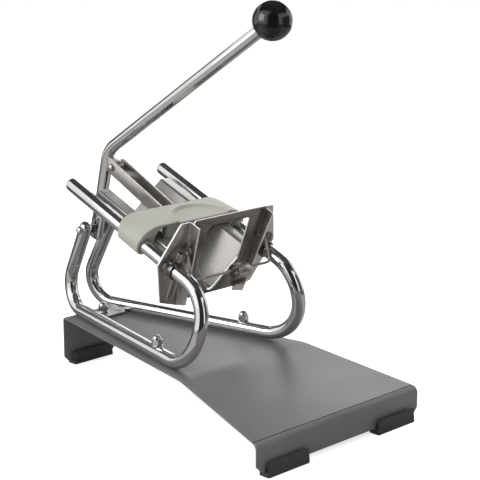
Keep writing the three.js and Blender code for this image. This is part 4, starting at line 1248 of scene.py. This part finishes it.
nickel = plated_steel("bright_nickel", (0.50, 0.49, 0.47), 0.22)
collar_inner = bar_radius + seat_gap
screw_end = collar_inner + screw_length
head_start = screw_end - screw_head_height
drill_radius = screw_radius + seat_gap


def in_valley(p):
    """Whether a corner lies on the rim of the head, in one of the knurl's valleys."""
    around = atan2(p.y, p.x) / pi * knurl_count
    return round(around) % 2 == 1 and p.xy.length > screw_head_radius - knurl_band


for side, side_name in both_sides:
    collar = turned("clamp_collar_ring_" + side_name, [
        (collar_inner, collar_bore_chamfer),
        (collar_inner + collar_bore_chamfer, 0),
        (collar_radius - collar_chamfer, 0),
        (collar_radius, collar_chamfer),
        (collar_radius, collar_width - collar_chamfer),
        (collar_radius - collar_chamfer, collar_width),
        (collar_inner + collar_bore_chamfer, collar_width),
        (collar_inner, collar_width - collar_bore_chamfer),
        (collar_inner, collar_bore_chamfer),
    ], sides=56, closed=False)
    placed(collar, (collar_rear, side * rail_span / 2, 0), (1, 0, 0))
    collar_middle = Vector((collar_rear + collar_width / 2, side * rail_span / 2, 0))
    screw_aim = Vector((0, -side * sin(screw_tilt), cos(screw_tilt)))
    screw_hole = turned("collar_drill", [
        (drill_radius, screw_hole_start), (drill_radius, screw_hole_end)], sides=24)
    combined(collar, placed(screw_hole, collar_middle, screw_aim), "DIFFERENCE")
    soften(collar, collar_hole_round, sharp=60)
    collar.matrix_world = to_rails
    dress(collar, dark_chrome, "root", "dark_chrome", "clamp_collar_" + side_name)

    screw = turned("clamp_screw_" + side_name + "_knurled", [
        (screw_radius - screw_chamfer, collar_inner),
        (screw_radius, collar_inner + screw_chamfer),
        (screw_radius, head_start - screw_neck_height),
        (screw_neck_radius, head_start - screw_neck_height),
        (screw_neck_radius, head_start),
        (screw_head_radius - screw_head_edge, head_start),
        (screw_head_radius, head_start + screw_head_edge),
        (screw_head_radius, screw_end - screw_head_edge),
        (screw_head_radius - screw_head_edge, screw_end),
        (pole, screw_end),
    ], sides=2 * knurl_count)
    only(screw)
    bpy.ops.object.mode_set(mode="EDIT")
    pick(screw, "VERT", in_valley)
    slim = 1 - knurl_depth / screw_head_radius
    bpy.ops.transform.resize(value=(slim, slim, 1), center_override=(0, 0, 0))
    placed(screw, collar_middle, screw_aim)
    screw.matrix_world = to_rails
    dress(screw, nickel, "root", "dark_chrome", "clamp_screw_" + side_name, smooth=25)

# Bail: a stainless wire bent to a wide U. It swings on its two turned-in ends and holds the blade
# set down.
bail_radius = 0.0015
bail_half = 0.0595
bail_run = Vector((0.209, 0, -0.003))
bail_corner = 0.005
bail_stub_end = 0.0488
bail_stub_bend = 0.003
bail_end_round = 0.0005
bail_bends = [bail_stub_bend, bail_corner, bail_corner, bail_stub_bend]

wire_steel = satin_steel("bail_wire_stainless", (0.62, 0.60, 0.58), 0.32, (120, 120, 120), 0.9)
half_bail = [(bail_pivot, bail_stub_end), (bail_pivot, bail_half), (bail_run, bail_half)]
bail_corners = [place + Vector((0, y, 0)) for place, y in half_bail]
bail_corners += [place - Vector((0, y, 0)) for place, y in reversed(half_bail)]
bail = bent_rod("bail_bent_wire", bail_radius, bail_corners, bail_bends, [bail_end_round] * 2,
                sides=20, steps=10, end_steps=3)
bail.matrix_world = to_rails
dress(bail, wire_steel, "bail", "stainless", "bail_wire")

# Bail springs: a short coil of wire round each end of the bail, between the guide wall and the
# bail's arm, that pulls it back.
spring_wire = 0.0011
spring_radius = 0.0038
spring_turns = 2
spring_steps = 24

spring_inner = guide_line(bail_pivot.z) + frame_sheet / 2 + seat_gap + spring_wire / 2
spring_outer = bail_half - bail_radius - seat_gap - spring_wire / 2
for side, side_name in both_sides:
    spring = ring("bail_spring_coil_" + side_name, 12, radius=spring_wire / 2,
                  location=(spring_radius, 0, 0), rotation=(pi / 2, 0, 0))
    modify(spring, "SCREW", axis="Z", angle=2 * pi, screw_offset=(spring_outer - spring_inner) / spring_turns,
           iterations=spring_turns, steps=spring_steps, render_steps=spring_steps, use_merge_vertices=False)
    outward(spring)
    bpy.ops.object.mode_set(mode="EDIT")
    close_rims(spring)
    placed(spring, (bail_pivot.x, side * spring_inner, bail_pivot.z), (0, side, 0))
    spring.matrix_world = to_rails
    dress(spring, nickel, "root", "dark_chrome", "bail_spring_" + side_name)

# Finger strip: a strip of stainless sheet rolled loosely round the bail's cross run, so that it
# hangs on the wire.
strip_start = 0.003
strip_end = 0.021
strip_drop = 0.002
strip_thickness = 0.0012
strip_outer_radius = 0.0095
strip_turns = 1.3
strip_opening_turns = 0.62
strip_steps = 52

strip_axis = bail_run + Vector((sin(rail_slope), 0, -cos(rail_slope))) * strip_drop
strip_inner_radius = strip_drop + bail_radius + seat_gap + strip_thickness / 2
strip_middle = []
for step in range(strip_steps + 1):
    turns = strip_turns * step / strip_steps
    turn = radians(90 - 360 * turns)
    opened = min(1, turns / strip_opening_turns)
    radius = strip_inner_radius + (strip_outer_radius - strip_thickness / 2 - strip_inner_radius) * opened
    strip_middle.append(Vector((radius * cos(turn), radius * sin(turn))))
strip_faces = {1: [], -1: []}
for number, point in enumerate(strip_middle):
    along = strip_middle[min(strip_steps, number + 1)] - strip_middle[max(0, number - 1)]
    along.normalize()
    for face, points in strip_faces.items():
        points.append(point + Vector((-along.y, along.x)) * face * strip_thickness / 2)
strip_line = strip_faces[1] + strip_faces[-1][::-1]
strip_outline = [(strip_axis.x + point.x, strip_axis.z + point.y) for point in strip_line]
strip = slab("bail_finger_strip", "Y", strip_outline, strip_start, strip_end - strip_start)
soften(strip, sheet_edge_round)
strip.matrix_world = to_rails
dress(strip, stainless, "bail", "stainless", "bail_strip")

# Studio: the camera, a pale floor, soft lights over and beside it, two fills that gloss doesn't
# see, and grey cards that only gloss sees, as a photographer sets them up for chrome.
camera_place = (1.41011, -1.11769, 0.59281)
camera_azimuth = radians(45.64)
camera_elevation = radians(13.84)
camera_lens = 112.775
object_middle = Vector((0.2, 0, 0.2))
floor_size = 8
floor_tone = 0.78
floor_glow = 0.68
background_light = 0.42
background_seen = 1.0
card_tint = (1, 0.95, 0.9)

camera_data = bpy.data.cameras.new("camera")
camera_data.lens = camera_lens
camera_data.sensor_width = 36
camera_data.clip_end = 50
camera = bpy.data.objects.new("camera", camera_data)
bpy.context.scene.collection.objects.link(camera)
camera.location = camera_place
camera_back = Vector((
    sin(camera_azimuth) * cos(camera_elevation),
    -cos(camera_azimuth) * cos(camera_elevation),
    sin(camera_elevation),
))
camera.rotation_mode = "QUATERNION"
camera.rotation_quaternion = (-camera_back).to_track_quat("-Z", "Y")
bpy.context.scene.camera = camera
bpy.context.scene.view_settings.view_transform = "Standard"


def seen_directly(tree):
    """One where a camera, mirror or glass ray arrives, and nought elsewhere."""
    path = tree.nodes.new("ShaderNodeLightPath")
    value = path.outputs["Is Camera Ray"]
    for ray in ("Is Glossy Ray", "Is Transmission Ray"):
        either = tree.nodes.new("ShaderNodeMath")
        either.operation = "MAXIMUM"
        tree.links.new(value, either.inputs[0])
        tree.links.new(path.outputs[ray], either.inputs[1])
        value = either.outputs["Value"]
    return value


def empty_material(name):
    material = bpy.data.materials.new(name)
    material.use_nodes = True
    material.node_tree.nodes.clear()
    return material


world = bpy.data.worlds.new("studio")
bpy.context.scene.world = world
world.use_nodes = True
sky = world.node_tree
soft = add_node(sky, "Background", "Background", {}, Color=(1, 1, 1, 1), Strength=background_light)
white = add_node(sky, "Background", "Background", {}, Color=(1, 1, 1, 1), Strength=background_seen)
background = add_node(sky, "MixShader", "Shader", {"Fac": seen_directly(sky), 1: soft, 2: white})
sky.links.new(background, sky.nodes["World Output"].inputs["Surface"])

fresh()
bpy.ops.mesh.primitive_plane_add(size=floor_size)
floor = bpy.context.active_object
floor.name = "studio_floor"
paper = empty_material("white_paper")
tree = paper.node_tree
matt = add_node(tree, "BsdfDiffuse", "BSDF", {}, Color=(floor_tone, floor_tone, floor_tone, 1))
strength = add_node(tree, "MapRange", "Result", {"Value": seen_directly(tree)}, To_Max=floor_glow)
lift = add_node(tree, "Emission", "Emission", {"Strength": strength}, Color=(1, 1, 1, 1))
both = add_node(tree, "AddShader", "Shader", {0: matt, 1: lift})
tree.links.new(both, tree.nodes.new("ShaderNodeOutputMaterial").inputs["Surface"])
floor.data.materials.append(paper)

lamps = [
    ("top_softbox", (0.1, 0.3, 1.9), (1.8, 1.4), 21, True),
    ("side_softbox", (-0.30, -1.36, 0.88), (0.9, 0.9), 9, True),
    ("back_softbox", (-0.46, 0.96, 0.74), (1.0, 0.4), 2, True),
    ("side_fill", (-0.30, -1.36, 0.88), (0.9, 0.9), 11, False),
    ("front_fill", (1.2, 0.0, 1.0), (0.9, 0.6), 2.5, False),
]
for name, place, size, power, seen_in_gloss in lamps:
    lamp = bpy.data.lights.new(name, "AREA")
    lamp.shape = "RECTANGLE"
    lamp.size, lamp.size_y = size
    lamp.energy = power
    light = bpy.data.objects.new(name, lamp)
    bpy.context.scene.collection.objects.link(light)
    light.location = place
    light.rotation_euler = (object_middle - Vector(place)).to_track_quat("-Z", "Y").to_euler()
    light.visible_glossy = seen_in_gloss

# Standing cards: grey level, azimuth, distance, lower edge and size. Flat cards: grey level,
# place and size.
standing_cards = [
    ("camera_side_card", 0.03, 52, 0.75, 0.001, (0.85, 1.2)),
    ("left_rear_card", 0.15, -98, 0.90, 0.001, (0.75, 0.9)),
    ("right_card", 0.10, 125, 0.90, 0.001, (0.84, 0.7)),
    ("rear_high_card", 0.05, -145, 1.60, 0.80, (2.6, 1.3)),
]
flat_cards = [
    ("canopy_card", 0.05, (0.2, 0.45, 1.5), (2.8, 2.4)),
    ("table_card", 0.22, (0.2, 0, 0.0004), (3.6, 3.6)),
    ("left_table_card", 0.52, (-0.12, -0.72, 0.0006), (0.95, 0.98)),
    ("far_table_card", 0.42, (0.72, 0.60, 0.0006), (1.1, 0.95)),
    ("rear_table_card", 0.09, (-0.90, 0.30, 0.0006), (1.1, 1.6)),
]
cards = []
for name, level, azimuth, distance, lower_edge, size in standing_cards:
    away = Vector((sin(radians(azimuth)), -cos(radians(azimuth)), 0))
    middle = Vector((object_middle.x, object_middle.y, lower_edge + size[1] / 2)) + away * distance
    cards.append((name, level, middle, away, size))
for name, level, middle, size in flat_cards:
    cards.append((name, level, middle, Vector((0, 0, 1)), size))
for name, level, middle, facing, size in cards:
    fresh()
    bpy.ops.mesh.primitive_plane_add(size=1, location=middle)
    card = bpy.context.active_object
    card.name = name
    card.scale = (*size, 1)
    card.rotation_euler = facing.to_track_quat("Z", "Y").to_euler()
    paint = empty_material(name)
    glow = add_node(paint.node_tree, "Emission", "Emission", {}, Color=(*shaded(card_tint, level), 1))
    output = paint.node_tree.nodes.new("ShaderNodeOutputMaterial")
    paint.node_tree.links.new(glow, output.inputs["Surface"])
    card.data.materials.append(paint)
    card.visible_camera = False
    card.visible_diffuse = False
    card.visible_shadow = False
    card.visible_transmission = False

fresh()
